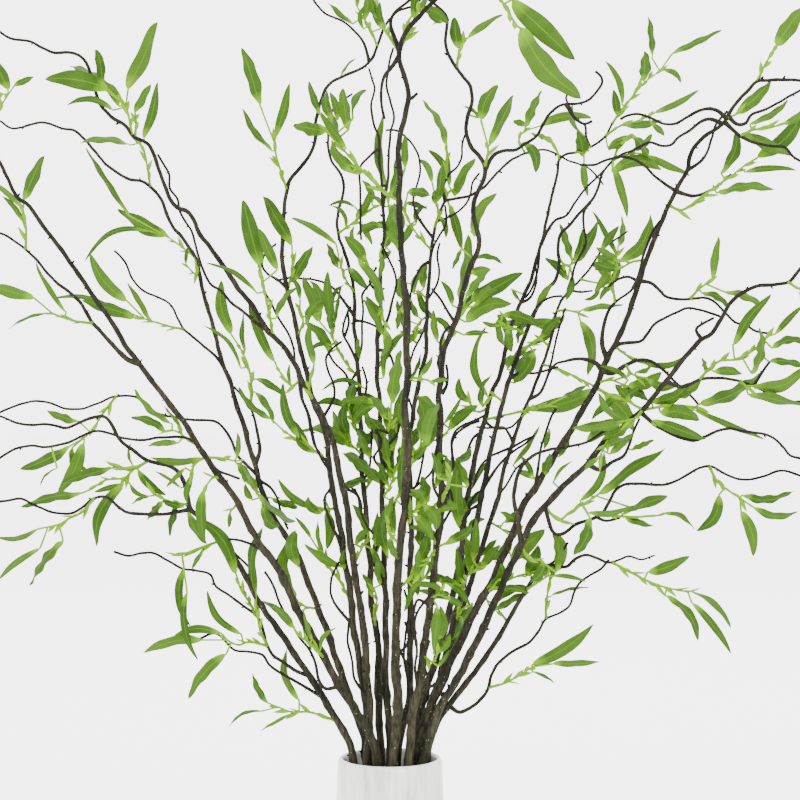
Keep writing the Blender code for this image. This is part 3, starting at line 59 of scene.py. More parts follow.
# Each stem: its place in the mouth (right, toward), how far its tip comes toward the eye, its thickness
# at the vase and at the tip, its route, its twigs (toward, thickness, route) and its sprigs (route,
# leaves). A leaf is the drawing place of its base and its tip, and its width.
stemPlans = {
    "stem_01": {
        "mouth": (-40, 4), "toward": 60, "thick": (8.5, 2.2),
        "route": ((342, 729), (327, 706), (310, 678), (290, 647), (262, 605), (240, 567), (222, 541),
                  (204, 520), (191, 509), (187, 490), (178, 473), (166, 465), (148, 461), (133, 450),
                  (119, 438), (110, 422), (100, 417), (83, 421), (66, 427), (50, 425), (23, 424),
                  (0, 417), (-28, 408)),
        "twigs": (
            (12, 3.0, ((321, 699), (300, 684), (285, 675), (270, 665), (262, 655), (247, 652), (235, 651),
                       (227, 643), (220, 636), (212, 634), (195, 640), (180, 638))),
            (-14, 3.2, ((308, 677), (296, 671), (284, 663), (273, 656), (267, 645), (263, 630), (257, 617),
                        (232, 597), (216, 586), (210, 574), (195, 570), (182, 569), (168, 560),
                        (154, 553), (142, 553), (129, 556), (114, 552))),
            (30, 3.4, ((191, 509), (176, 512), (160, 514), (131, 513), (120, 508), (106, 497), (93, 499),
                       (82, 508), (70, 513), (50, 512), (35, 506), (20, 499), (2, 501), (-22, 497))),
            (-18, 2.4, ((224, 543), (234, 553), (249, 567))),
        ),
        "sprigs": (
            (((336, 724), (323, 716), (308, 712), (292, 712), (278, 707)),
             ((299, 700, 287, 648, 9), (268, 703, 253, 673, 8), (262, 711, 229, 727, 4))),
            (((264, 645), (260, 630), (257, 612)),
             ((256, 604, 263, 527, 12), (261, 601, 294, 628, 9))),
            (((264, 648), (250, 642), (238, 645), (227, 640)),
             ((241, 634, 207, 590, 8), (226, 654, 189, 699, 12), (221, 633, 174, 635, 9),
              (203, 640, 143, 653, 12))),
            (((220, 541), (200, 548), (186, 553), (172, 555)),
             ((184, 568, 190, 626, 9), (187, 592, 198, 660, 8))),
            (((148, 462), (138, 467), (128, 468), (116, 467)),
             ((113, 468, 60, 484, 12), (138, 470, 166, 495, 9))),
            (((146, 464), (133, 470), (124, 478), (106, 480), (92, 489)),
             ((82, 493, 21, 507, 11), (123, 485, 96, 546, 13))),
            (((188, 505), (176, 503), (166, 500), (155, 495)),
             ((178, 504, 170, 536, 9), (163, 502, 147, 520, 10), (150, 496, 132, 504, 5))),
            (((95, 500), (82, 512), (70, 518), (60, 524), (48, 527)),
             ((38, 529, -5, 537, 6), (63, 541, 30, 585, 13), (40, 548, -2, 580, 7))),
            (((258, 612), (250, 603), (241, 590), (238, 580)), ((236, 574, 196, 516, 14),)),
        ),
    },
    "stem_02": {
        "mouth": (-14, 19), "toward": 220, "thick": (9.5, 3.0),
        "route": ((369, 733), (354, 708), (340, 686), (327, 660), (313, 637), (300, 612), (286, 585),
                  (275, 565), (262, 546), (256, 535), (235, 500), (207, 457), (181, 420), (160, 390),
                  (137, 360), (115, 327), (95, 298), (75, 268), (48, 232), (30, 207), (17, 197),
                  (7, 177), (-1, 160), (-18, 130), (-28, 98)),
        "twigs": (
            (-30, 4.2, ((139, 363), (127, 359), (110, 342), (93, 325), (87, 315), (80, 302), (66, 289),
                        (50, 276), (35, 258), (26, 249), (12, 239), (0, 233), (-24, 224))),
            (-12, 2.6, ((198, 446), (189, 439), (179, 437), (160, 438), (146, 440), (123, 438),
                        (114, 435), (100, 431), (88, 433), (66, 443), (46, 448), (31, 446), (15, 449),
                        (0, 458), (-12, 470))),
            (-20, 3.6, ((268, 555), (255, 546), (240, 541), (229, 539))),
            (14, 3.0, ((335, 688), (326, 689), (319, 680), (316, 665), (310, 650), (300, 638),
                       (290, 622), (280, 604), (274, 588), (265, 572))),
            (18, 2.4, ((208, 460), (218, 470), (230, 475), (240, 479))),
        ),
        "sprigs": (
            (((88, 326), (75, 321), (62, 317), (52, 313)),
             ((34, 298, -14, 284, 13), (50, 313, 9, 329, 4), (66, 312, 36, 262, 6))),
            (((26, 249), (26, 228), (23, 211)),
             ((24, 200, 44, 156, 13), (20, 207, -12, 180, 6))),
            (((206, 457), (196, 463), (190, 474)),
             ((203, 458, 150, 457, 9), (191, 480, 187, 503, 7))),
            (((206, 458), (220, 458), (235, 461)),
             ((237, 464, 245, 484, 7), (236, 458, 237, 432, 6))),
            (((222, 480), (214, 477), (206, 486)), ((204, 490, 206, 544, 12),)),
            (((197, 447), (188, 440), (180, 433), (172, 430)),
             ((166, 431, 131, 417, 10), (172, 424, 134, 389, 9), (178, 443, 148, 446, 7))),
            (((237, 503), (231, 511)), ((230, 512, 229, 528, 5),)),
            (((327, 660), (317, 650), (305, 640), (297, 634)), ((294, 628, 272, 604, 9),)),
        ),
    },
    "stem_03": {
        "mouth": (-25, 4), "toward": 36, "thick": (9.0, 2.6),
        "route": ((369, 732), (369, 700), (367, 670), (364, 635), (359, 600), (354, 565), (350, 535),
                  (346, 503), (340, 475), (334, 445), (326, 425), (316, 404), (304, 383), (297, 367),
                  (285, 350), (270, 332), (250, 303), (235, 283), (217, 257), (200, 233), (188, 212),
                  (177, 207), (169, 197), (158, 167), (152, 150), (146, 143), (133, 136), (126, 126),
                  (110, 116), (101, 105), (97, 94), (91, 74), (84, 61), (74, 54), (55, 54), (44, 49),
                  (30, 42), (13, 39), (0, 31), (-25, 12)),
        "twigs": (
            (-24, 3.0, ((268, 330), (255, 322), (243, 311), (232, 303), (222, 291), (212, 285),
                        (205, 275), (199, 258), (193, 235), (186, 222), (180, 211), (178, 199),
                        (170, 188), (169, 172), (158, 154))),
            (20, 3.2, ((299, 372), (301, 387), (303, 401), (310, 418), (314, 440), (321, 459),
                       (330, 472))),
            (16, 2.8, ((341, 478), (346, 488), (355, 494), (360, 503), (361, 514), (366, 524),
                       (373, 533))),
        ),
        "sprigs": (
            (((133, 134), (129, 118), (126, 105)),
             ((128, 90, 157, 22, 17), (108, 90, 46, 80, 19), (113, 110, 67, 105, 7),
              (119, 106, 97, 80, 9), (103, 88, 96, 50, 10), (122, 100, 70, 66, 14))),
            (((135, 137), (136, 126), (136, 118)), ((135, 113, 151, 84, 10),)),
            (((273, 335), (270, 318), (266, 300), (263, 282)),
             ((260, 266, 243, 200, 18), (257, 293, 207, 263, 6), (277, 270, 258, 228, 11),
              (276, 318, 298, 286, 9))),
            (((301, 378), (292, 386), (283, 376), (277, 368)), ((275, 362, 249, 299, 10),)),
            (((316, 404), (309, 390), (312, 372)), ((314, 364, 308, 322, 10),)),
            (((354, 565), (361, 550), (366, 540)),
             ((368, 536, 352, 504, 9), (370, 548, 384, 578, 9))),
        ),
    },
    "stem_04": {
        "mouth": (-28, -24), "toward": -260, "thick": (8.5, 2.6),
        "route": ((362, 730), (348, 693), (335, 657), (325, 625), (312, 592), (302, 566), (290, 543),
                  (277, 522), (267, 503), (260, 485), (255, 463), (248, 445), (242, 420), (236, 400),
                  (231, 383), (223, 365), (216, 338), (210, 315), (202, 285), (196, 258), (185, 243),
                  (172, 225), (162, 203), (151, 188), (142, 181), (128, 179), (113, 171), (93, 149),
                  (77, 131), (63, 129), (43, 123), (22, 128), (10, 128), (-2, 121), (-26, 117)),
        "twigs": (
            (-16, 3.0, ((258, 476), (245, 463), (237, 455), (230, 438), (217, 423), (196, 420),
                        (174, 417), (157, 414), (143, 402), (133, 396), (114, 396), (100, 403),
                        (83, 409), (66, 408), (43, 401), (22, 404), (0, 412), (-18, 424))),
            (-22, 3.0, ((225, 372), (216, 357), (200, 343), (184, 329), (177, 318), (167, 302),
                        (145, 292), (133, 280), (125, 262), (114, 251))),
            (16, 4.0, ((256, 464), (260, 450), (258, 435), (252, 411), (243, 397), (234, 387))),
            (14, 2.8, ((259, 480), (270, 487), (277, 498), (280, 510), (288, 530))),
        ),
        "sprigs": (
            (((150, 187), (147, 165), (144, 150), (140, 143)),
             ((144, 139, 158, 82, 10), (130, 145, 80, 143, 10))),
            (((196, 257), (182, 247), (168, 237)),
             ((166, 236, 118, 209, 17), (150, 231, 84, 262, 6), (130, 216, 86, 148, 7))),
            (((-4, 121), (0, 108), (8, 95)),
             ((14, 86, 34, 77, 7), (8, 90, -14, 52, 14), (4, 94, -26, 112, 13))),
            (((184, 329), (172, 327), (158, 323), (145, 319)),
             ((135, 317, 82, 300, 13), (127, 301, 90, 253, 13), (152, 321, 128, 283, 7),
              (110, 305, 52, 298, 5))),
            (((251, 408), (251, 385), (248, 365), (239, 346)),
             ((231, 334, 221, 280, 13), (245, 352, 244, 312, 6), (241, 368, 203, 325, 5),
              (256, 379, 284, 396, 8), (255, 392, 274, 424, 9))),
            (((116, 397), (104, 412), (94, 427), (84, 438)),
             ((70, 446, 20, 469, 13), (78, 421, 47, 410, 10), (84, 443, 58, 495, 14))),
            (((262, 488), (264, 497)),
             ((266, 500, 294, 521, 15), (272, 498, 298, 508, 8), (258, 495, 240, 462, 9))),
            (((318, 609), (307, 607), (299, 603)),
             ((296, 598, 294, 534, 14), (303, 612, 312, 650, 6))),
            (((196, 257), (196, 274), (187, 266)), ((186, 264, 188, 246, 4),)),
        ),
    },
    "stem_05": {
        "mouth": (-19, -11), "toward": -130, "thick": (8.5, 2.8),
        "route": ((368, 728), (363, 690), (357, 650), (352, 610), (347, 577), (342, 545), (338, 518),
                  (333, 490), (330, 465), (327, 440), (321, 418), (315, 402), (308, 378), (300, 345),
                  (293, 312), (287, 285), (282, 262), (283, 235), (286, 190), (291, 177), (300, 168),
                  (311, 154), (316, 140), (316, 119), (321, 100), (329, 85), (342, 76), (359, 69),
                  (371, 60), (377, 46), (385, 25), (398, 12), (415, 5), (432, -12)),
        "twigs": (
            (14, 3.2, ((343, 552), (337, 536), (331, 525), (326, 508), (326, 496), (331, 484),
                       (326, 462), (314, 445), (311, 430))),
            (10, 3.0, ((351, 625), (342, 613), (333, 600), (330, 588), (332, 576), (339, 562))),
            (34, 4.6, ((369, 62), (364, 44), (355, 32), (342, 21), (326, 14), (314, 1), (304, -18))),
            (10, 2.8, ((288, 288), (278, 280), (268, 274), (262, 264), (266, 252), (276, 244))),
            (10, 2.4, ((311, 430), (307, 412), (301, 398), (299, 382), (296, 365), (293, 350),
                       (288, 334), (280, 320), (271, 304), (265, 292), (262, 276), (258, 262))),
        ),
        "sprigs": (
            (((320, 458), (308, 447), (298, 440), (285, 432)),
             ((272, 420, 238, 387, 9), (299, 437, 283, 383, 10), (310, 451, 290, 416, 9))),
            (((288, 290), (292, 272), (292, 256)),
             ((292, 246, 263, 196, 14), (293, 282, 313, 246, 12))),
            (((286, 190), (281, 172), (276, 155), (274, 142)),
             ((272, 151, 242, 108, 8), (276, 137, 290, 83, 10), (260, 105, 242, 48, 15))),
            (((377, 46), (371, 30), (361, 14)),
             ((358, 8, 350, -24, 8), (365, 20, 371, -12, 9), (352, 24, 328, 3, 7), (382, 28, 374, 2, 9))),
            (((329, 500), (329, 508)), ((327, 511, 327, 549, 11),)),
            (((336, 508), (324, 510), (318, 508)),
             ((315, 508, 278, 479, 8), (320, 514, 308, 497, 9))),
            (((344, 556), (343, 566)), ((341, 567, 305, 544, 10),)),
            (((352, 610), (345, 590), (333, 572), (326, 562)), ((324, 557, 318, 520, 6),)),
            (((298, 336), (303, 322), (300, 309)),
             ((300, 300, 289, 276, 6), (306, 324, 322, 300, 9))),
        ),
    },
    "stem_06": {
        "mouth": (-10, -26), "toward": -250, "thick": (8.5, 2.6),
        "route": ((379, 725), (378, 690), (379, 655), (375, 622), (371, 590), (370, 560), (367, 530),
                  (364, 500), (362, 470), (361, 440), (360, 410), (359, 385), (358, 365), (356, 340),
                  (355, 315), (354, 290), (350, 270), (343, 250), (337, 232), (339, 212), (343, 190),
                  (340, 175), (331, 160), (328, 140), (329, 120), (337, 106), (352, 93)),
        "twigs": (
            (-24, 3.2, ((355, 316), (345, 303), (337, 292), (328, 284), (315, 280), (300, 279),
                        (286, 278), (276, 280))),
            (20, 2.8, ((356, 320), (366, 322), (377, 327))),
            (18, 2.8, ((358, 362), (349, 345), (343, 334), (345, 322), (349, 310))),
            (-18, 3.0, ((359, 390), (351, 387), (346, 375), (337, 366), (331, 358), (328, 348),
                        (338, 342))),
            (-15, 2.4, ((366, 525), (360, 510), (358, 497), (352, 488))),
        ),
        "sprigs": (
            (((356, 378), (345, 362), (337, 348), (331, 335)),
             ((320, 322, 303, 277, 14), (333, 324, 328, 271, 11), (331, 352, 305, 322, 12),
              (330, 345, 310, 352, 5))),
            (((354, 292), (346, 280), (341, 268)),
             ((338, 268, 327, 243, 9), (336, 244, 291, 218, 7), (350, 268, 368, 290, 9))),
            (((340, 232), (350, 225), (362, 216), (376, 205)),
             ((358, 222, 372, 245, 7), (372, 204, 362, 180, 8), (356, 216, 370, 190, 9))),
            (((362, 455), (352, 445), (347, 440)),
             ((345, 439, 302, 430, 14), (350, 440, 346, 402, 13), (357, 448, 378, 432, 12))),
            (((361, 440), (352, 420), (348, 408)),
             ((346, 407, 316, 404, 8), (349, 404, 356, 382, 13), (356, 425, 374, 398, 12))),
            (((363, 492), (372, 480), (382, 470)),
             ((366, 476, 343, 453, 15), (360, 482, 341, 488, 10), (386, 466, 394, 432, 11),
              (389, 464, 378, 443, 12))),
            (((370, 570), (375, 562)),
             ((377, 560, 379, 583, 9), (374, 556, 384, 532, 8))),
            (((376, 628), (374, 612), (377, 600), (374, 588)), ((372, 596, 362, 574, 8),)),
        ),
    },
    "stem_07": {
        "mouth": (0, -11), "toward": -50, "thick": (8.5, 2.4),
        "route": ((389, 725), (386, 690), (386, 655), (385, 610), (384, 560), (383, 520), (382, 480),
                  (381, 440), (379, 405), (377, 375), (378, 345), (380, 300), (382, 260), (384, 230),
                  (383, 200), (379, 165), (379, 141), (373, 122), (371, 105), (374, 88), (369, 68)),
        "twigs": (
            (-20, 3.2, ((383, 206), (388, 180), (389, 150), (391, 133), (394, 118), (391, 102),
                        (387, 84), (389, 68), (393, 48))),
            (18, 3.0, ((378, 338), (387, 321), (392, 303), (396, 283), (393, 268), (386, 254),
                       (380, 244))),
            (-12, 2.8, ((378, 350), (387, 352), (393, 362), (394, 376), (397, 392))),
            (14, 2.8, ((385, 590), (378, 575), (374, 560), (377, 545))),
            (15, 2.4, ((379, 147), (369, 157), (360, 168), (360, 185), (361, 205), (361, 240))),
            (-10, 2.4, ((371, 456), (379, 447), (380, 437), (373, 428), (371, 418))),
            (10, 2.2, ((362, 294), (370, 282), (377, 268))),
        ),
        "sprigs": (
            (((381, 445), (388, 430), (391, 416)),
             ((391, 404, 400, 350, 16), (385, 418, 371, 396, 12), (393, 428, 398, 402, 10),
              (384, 436, 368, 418, 12))),
            (((382, 500), (390, 486), (395, 472)),
             ((396, 470, 399, 446, 10), (388, 486, 378, 462, 10), (390, 500, 394, 534, 10))),
            (((383, 520), (388, 508), (396, 500)),
             ((398, 497, 402, 470, 9), (386, 512, 372, 540, 9))),
            (((380, 300), (383, 318), (386, 330)),
             ((386, 330, 380, 358, 9), (382, 312, 366, 296, 8))),
            (((384, 245), (390, 228), (389, 208), (386, 192)),
             ((385, 188, 383, 114, 10), (390, 196, 397, 149, 9), (383, 226, 357, 235, 9),
              (386, 240, 394, 204, 14), (380, 252, 378, 282, 7))),
            (((380, 290), (374, 276), (366, 262)),
             ((365, 262, 344, 236, 13), (378, 284, 384, 312, 8), (358, 260, 385, 302, 9))),
            (((379, 411), (376, 405)), ((375, 403, 338, 403, 9),)),
        ),
    },
    "stem_08": {
        "mouth": (4, 31), "toward": 380, "thick": (10.5, 3.6),
        "route": ((396, 725), (397, 690), (396, 650), (396, 610), (398, 570), (402, 535), (405, 500),
                  (406, 460), (406, 400), (407, 350), (406, 313), (403, 280), (402, 250), (400, 215),
                  (399, 180), (399, 142), (405, 112), (409, 95), (404, 73), (400, 56), (403, 40),
                  (411, 25), (425, 10), (438, -2), (456, -22), (478, -36)),
        "twigs": (
            (-20, 3.4, ((400, 52), (395, 38), (391, 24), (395, 12), (407, 2), (420, -10))),
            (-16, 3.2, ((400, 57), (391, 68), (384, 77), (381, 92), (382, 106), (384, 118))),
            (16, 3.0, ((407, 98), (412, 98), (417, 94))),
        ),
        "sprigs": (
            (((478, -36), (492, -18), (504, 5), (517, 26)),
             ((520, 28, 581, 98, 26), (512, 0, 575, 60, 22))),
            (((400, 200), (390, 196), (372, 180), (356, 164), (342, 148), (330, 134)),
             ((326, 132, 293, 126, 15), (349, 129, 343, 88, 13), (352, 120, 367, 90, 10),
              (320, 114, 309, 81, 8), (332, 118, 327, 91, 10), (360, 174, 330, 146, 13),
              (338, 138, 328, 112, 10))),
            (((401, 50), (410, 30), (418, 12)),
             ((421, 9, 448, 24, 10), (412, 16, 408, -16, 8))),
            (((406, 475), (414, 458), (420, 446)),
             ((421, 441, 418, 396, 20), (425, 445, 438, 404, 14), (418, 450, 405, 468, 9),
              (426, 448, 430, 418, 11))),
            (((405, 520), (415, 510), (424, 502)),
             ((427, 500, 421, 477, 13), (424, 506, 436, 530, 13), (414, 516, 432, 540, 12))),
            (((398, 590), (408, 580), (416, 566)),
             ((418, 562, 428, 532, 12), (420, 574, 404, 612, 7), (412, 586, 446, 596, 8),
              (415, 580, 418, 548, 9))),
            (((402, 545), (392, 536), (388, 524)),
             ((387, 520, 394, 496, 9), (390, 538, 398, 560, 9))),
            (((407, 380), (416, 378), (428, 380)), ((430, 382, 448, 380, 6),)),
        ),
    },
    "stem_09": {
        "mouth": (8, -38), "toward": -360, "thick": (8.5, 2.4),
        "route": ((404, 722), (409, 690), (410, 650), (410, 600), (410, 560), (411, 520), (409, 480),
                  (408, 445), (412, 422), (415, 400), (420, 376), (425, 355), (427, 330), (428, 300),
                  (430, 270), (431, 245), (435, 225), (445, 203), (452, 200), (470, 195), (485, 187),
                  (496, 175), (510, 161), (525, 153), (541, 149), (554, 152), (567, 160), (582, 165),
                  (594, 172), (603, 184)),
        "twigs": (
            (-22, 2.8, ((431, 238), (424, 226), (417, 214), (413, 202), (416, 188), (420, 172),
                        (419, 158), (414, 147), (406, 138), (397, 131), (386, 130))),
            (24, 3.2, ((446, 202), (443, 188), (448, 176), (457, 166), (462, 156), (463, 141),
                       (468, 130))),
            (20, 3.0, ((431, 262), (422, 266), (415, 278), (411, 292), (410, 310))),
            (-16, 3.0, ((427, 320), (420, 338), (414, 350), (411, 362))),
            (20, 2.4, ((437, 222), (449, 217), (459, 211), (466, 204), (470, 195), (472, 183), (479, 173))),
            (15, 2.2, ((433, 490), (431, 472), (435, 455), (439, 438))),
            (12, 2.4, ((429, 232), (420, 221), (414, 209))),
        ),
        "sprigs": (
            (((432, 250), (421, 239), (412, 227), (404, 212)),
             ((408, 192, 430, 196, 12), (402, 206, 392, 180, 10), (414, 222, 402, 246, 8))),
            (((434, 228), (438, 214), (437, 205)),
             ((436, 203, 442, 162, 11), (432, 182, 419, 159, 7))),
            (((446, 202), (449, 192), (455, 188)),
             ((455, 196, 475, 158, 12), (449, 186, 447, 148, 7))),
            (((448, 202), (450, 208)), ((450, 206, 462, 250, 10),)),
            (((449, 180), (447, 162), (446, 150)), ((447, 147, 422, 100, 10),)),
            (((525, 153), (519, 140), (524, 131)),
             ((526, 127, 542, 91, 11), (540, 126, 592, 118, 10), (526, 126, 513, 122, 7),
              (525, 142, 536, 173, 11))),
            (((427, 315), (420, 322), (417, 330)),
             ((416, 332, 404, 344, 7), (420, 318, 410, 296, 8))),
            (((411, 300), (402, 308)),
             ((400, 310, 398, 330, 7), (404, 300, 400, 276, 8))),
        ),
    },
    "stem_10": {
        "mouth": (20, 29), "toward": 260, "thick": (9.5, 2.6),
        "route": ((412, 722), (418, 688), (424, 650), (430, 606), (434, 570), (439, 535), (441, 505),
                  (441, 475), (440, 440), (440, 412), (438, 393), (441, 370), (445, 350), (452, 332),
                  (458, 313), (463, 292), (469, 270), (478, 253), (480, 240), (475, 225), (473, 209),
                  (477, 194), (483, 180), (485, 166), (478, 155), (470, 146), (466, 132), (468, 118),
                  (472, 103), (470, 87), (462, 76), (455, 66), (448, 50), (446, 33), (447, 18),
                  (440, 8), (428, -2), (410, -16)),
        "twigs": (
            (-22, 3.2, ((485, 170), (493, 156), (503, 151), (515, 150), (523, 145), (535, 137),
                        (541, 127), (548, 115), (557, 107), (566, 104), (578, 104), (590, 99),
                        (601, 86), (601, 77), (595, 71))),
            (14, 3.4, ((440, 530), (444, 508), (448, 494), (443, 480), (451, 468), (453, 455),
                       (452, 442), (456, 431), (464, 425), (476, 420), (486, 414))),
            (10, 2.8, ((444, 356), (440, 345), (443, 334), (450, 326))),
            (-20, 2.6, ((445, 350), (438, 362), (442, 374), (448, 382), (444, 394))),
            (-8, 2.6, ((430, 606), (418, 600), (414, 612), (413, 624), (416, 634))),
            (15, 2.2, ((565, 103), (575, 118), (585, 124), (592, 121))),
            (-18, 2.4, ((440, 395), (445, 388), (448, 378), (446, 365))),
            (-20, 2.6, ((452, 322), (448, 312), (440, 298), (432, 288))),
        ),
        "sprigs": (
            (((441, 366), (440, 350), (448, 338), (456, 322), (463, 308)),
             ((459, 298, 468, 234, 15), (470, 302, 523, 273, 16), (466, 322, 512, 304, 16),
              (452, 305, 441, 281, 7), (474, 306, 496, 290, 10), (450, 334, 434, 318, 8),
              (466, 297, 488, 272, 10), (437, 341, 433, 310, 8))),
            (((480, 240), (476, 234)), ((474, 236, 497, 193, 12),)),
            (((471, 266), (474, 260)),
             ((474, 258, 503, 264, 7), (472, 274, 491, 270, 10))),
            (((485, 166), (488, 152), (487, 142)),
             ((481, 120, 498, 85, 14), (490, 145, 514, 95, 13))),
            (((457, 68), (459, 52), (463, 39)),
             ((457, 47, 454, 17, 12), (468, 38, 503, 15, 8))),
            (((440, 440), (446, 433), (450, 428)), ((451, 427, 478, 405, 12),)),
            (((441, 505), (448, 484), (450, 470)),
             ((444, 480, 447, 456, 12), (438, 478, 432, 452, 10), (433, 506, 457, 507, 8))),
            (((434, 570), (426, 562), (420, 552)),
             ((427, 556, 418, 596, 13), (420, 546, 428, 520, 12))),
            (((430, 606), (437, 594), (446, 582)),
             ((448, 580, 424, 578, 9), (448, 584, 470, 606, 7))),
            (((424, 655), (432, 662), (437, 655)),
             ((438, 652, 450, 634, 8), (437, 640, 440, 606, 10))),
            (((438, 536), (432, 530)), ((431, 527, 423, 483, 13),)),
            (((438, 548), (446, 543)), ((448, 541, 468, 529, 10),)),
            (((430, 598), (438, 594)), ((437, 606, 433, 650, 11),)),
        ),
    },
    "stem_11": {
        "mouth": (34, -11), "toward": -60, "thick": (9.0, 2.6),
        "route": ((427, 722), (437, 690), (446, 655), (454, 622), (461, 595), (468, 565), (474, 535),
                  (480, 505), (486, 475), (492, 447), (498, 425), (503, 402), (508, 383), (514, 363),
                  (522, 343), (530, 325), (538, 306), (545, 291), (555, 282), (558, 268), (558, 248),
                  (561, 234), (570, 224), (579, 213), (590, 202), (598, 188), (603, 174), (612, 162),
                  (622, 154), (635, 150)),
        "twigs": (
            (16, 3.4, ((590, 202), (584, 212), (584, 228), (586, 243), (580, 256), (574, 268),
                       (571, 280))),
            (-18, 3.0, ((509, 378), (520, 373), (535, 373), (548, 370), (557, 367))),
            (-14, 3.2, ((484, 488), (492, 475), (502, 462), (513, 452), (525, 444), (535, 435))),
            (16, 2.8, ((480, 505), (470, 510), (463, 521), (466, 530))),
            (22, 2.6, ((524, 330), (532, 315), (540, 304), (550, 298), (562, 296))),
        ),
        "sprigs": (
            (((614, 160), (618, 148), (628, 136)),
             ((612, 172, 662, 170, 13), (612, 166, 627, 218, 9), (632, 134, 650, 160, 13),
              (626, 138, 608, 150, 8))),
            (((558, 258), (564, 264), (570, 265)),
             ((572, 262, 560, 224, 10), (576, 262, 598, 220, 12), (572, 276, 566, 300, 8),
              (568, 280, 545, 258, 9))),
            (((526, 334), (514, 328), (500, 325)),
             ((503, 314, 541, 326, 11), (498, 326, 482, 322, 5), (508, 330, 512, 352, 10))),
            (((519, 350), (528, 346), (535, 340)),
             ((534, 352, 515, 383, 12), (540, 338, 560, 316, 9))),
            (((503, 402), (495, 396), (489, 398)), ((488, 397, 486, 327, 9),)),
            (((461, 595), (466, 578), (478, 568)),
             ((482, 566, 499, 545, 11), (470, 572, 466, 536, 13), (462, 584, 456, 548, 9))),
            (((454, 622), (462, 610), (468, 606)),
             ((470, 604, 456, 590, 7), (462, 618, 452, 640, 8))),
            (((446, 655), (455, 646), (462, 640)), ((462, 638, 470, 620, 10),)),
            (((617, 163), (626, 155), (637, 153)),
             ((646, 156, 690, 176, 8), (634, 150, 652, 134, 9))),
        ),
    },
    "stem_12": {
        "mouth": (20, -11), "toward": -190, "thick": (9.0, 2.8),
        "route": ((417, 722), (428, 686), (440, 645), (450, 605), (458, 568), (463, 532), (467, 500),
                  (471, 475), (477, 450), (483, 430), (488, 408), (492, 390), (499, 375), (504, 360),
                  (508, 343), (512, 325), (517, 311), (523, 297), (531, 278), (538, 255), (543, 233),
                  (549, 208), (554, 188), (558, 172), (560, 160), (567, 154), (580, 151), (596, 144),
                  (606, 135), (612, 124)),
        "twigs": (
            (16, 3.2, ((590, 148), (586, 136), (585, 126), (576, 119), (570, 108), (566, 98),
                       (571, 90))),
            (20, 3.2, ((540, 245), (548, 230), (556, 220), (566, 216), (574, 204), (584, 190),
                       (596, 178), (606, 168))),
            (-20, 2.8, ((520, 302), (530, 298), (536, 284), (537, 268))),
            (-14, 2.8, ((482, 434), (474, 437), (469, 446), (466, 455), (460, 461), (454, 466))),
            (-20, 2.6, ((485, 421), (492, 427), (502, 429), (512, 427), (521, 418))),
            (15, 2.4, ((540, 250), (538, 270), (532, 288), (525, 298))),
        ),
        "sprigs": (
            (((612, 124), (620, 112), (632, 97), (645, 82), (660, 71)),
             ((652, 58, 648, 16, 9), (643, 80, 644, 51, 13), (672, 54, 722, 30, 8),
              (664, 70, 681, 83, 6), (622, 104, 605, 61, 7), (617, 116, 613, 90, 9))),
            (((606, 137), (620, 126), (634, 122), (648, 117)),
             ((654, 113, 699, 90, 7), (652, 124, 664, 136, 7), (624, 126, 662, 121, 9),
              (608, 148, 634, 136, 8))),
            (((590, 147), (584, 152)),
             ((584, 156, 578, 131, 14), (587, 140, 573, 104, 8), (584, 162, 588, 196, 8))),
            (((560, 160), (556, 148), (552, 142)), ((552, 140, 530, 134, 8),)),
            (((488, 408), (478, 412), (470, 404)), ((469, 402, 459, 378, 9),)),
            (((464, 522), (458, 500), (460, 486)),
             ((461, 530, 458, 456, 15), (466, 510, 484, 490, 9), (456, 514, 444, 500, 9))),
            (((456, 472), (458, 466)), ((458, 464, 469, 448, 9),)),
            (((460, 574), (468, 572)),
             ((457, 588, 457, 546, 9), (474, 572, 500, 545, 10))),
        ),
    },
    "stem_13": {
        "mouth": (26, -26), "toward": -300, "thick": (8.5, 2.4),
        "route": ((423, 722), (438, 685), (450, 650), (462, 610), (472, 578), (482, 548), (490, 522),
                  (498, 495), (505, 468), (513, 442), (521, 418), (528, 400), (536, 381), (543, 365),
                  (549, 346), (554, 325), (559, 305), (568, 292), (580, 279), (592, 265), (602, 251),
                  (615, 240), (628, 230)),
        "twigs": (
            (16, 3.2, ((528, 398), (540, 393), (547, 378), (552, 358), (556, 340), (561, 322),
                       (566, 308))),
            (-16, 2.8, ((570, 290), (580, 292), (592, 291))),
            (-18, 2.8, ((512, 442), (505, 428), (496, 428), (486, 428), (476, 427))),
            (18, 2.8, ((492, 516), (496, 500), (506, 486), (515, 470), (524, 462))),
            (-14, 2.6, ((511, 448), (500, 452), (490, 457), (480, 468), (474, 485), (468, 492))),
            (12, 2.4, ((511, 448), (525, 440), (535, 435))),
        ),
        "sprigs": (
            (((558, 312), (566, 310), (578, 313)),
             ((580, 320, 588, 376, 13), (582, 310, 623, 305, 8), (564, 318, 534, 326, 12))),
            (((580, 279), (592, 282), (604, 284)),
             ((608, 284, 620, 262, 8), (604, 278, 598, 258, 9))),
            (((602, 251), (612, 262), (618, 252)),
             ((619, 262, 651, 214, 14), (612, 264, 592, 266, 9), (618, 246, 622, 216, 8),
              (600, 250, 618, 226, 9))),
            (((543, 365), (556, 368), (576, 377), (598, 388), (620, 400)),
             ((597, 389, 522, 408, 17), (604, 394, 634, 431, 16))),
            (((521, 418), (530, 410), (545, 406), (558, 400)), ((562, 398, 590, 384, 7),)),
            (((490, 522), (500, 528), (508, 534)),
             ((510, 536, 492, 560, 11), (504, 522, 522, 508, 8))),
            (((549, 346), (540, 340), (530, 345)), ((528, 346, 508, 366, 9),)),
        ),
    },
    "stem_14": {
        "mouth": (21, 13), "toward": 150, "thick": (10.0, 3.0),
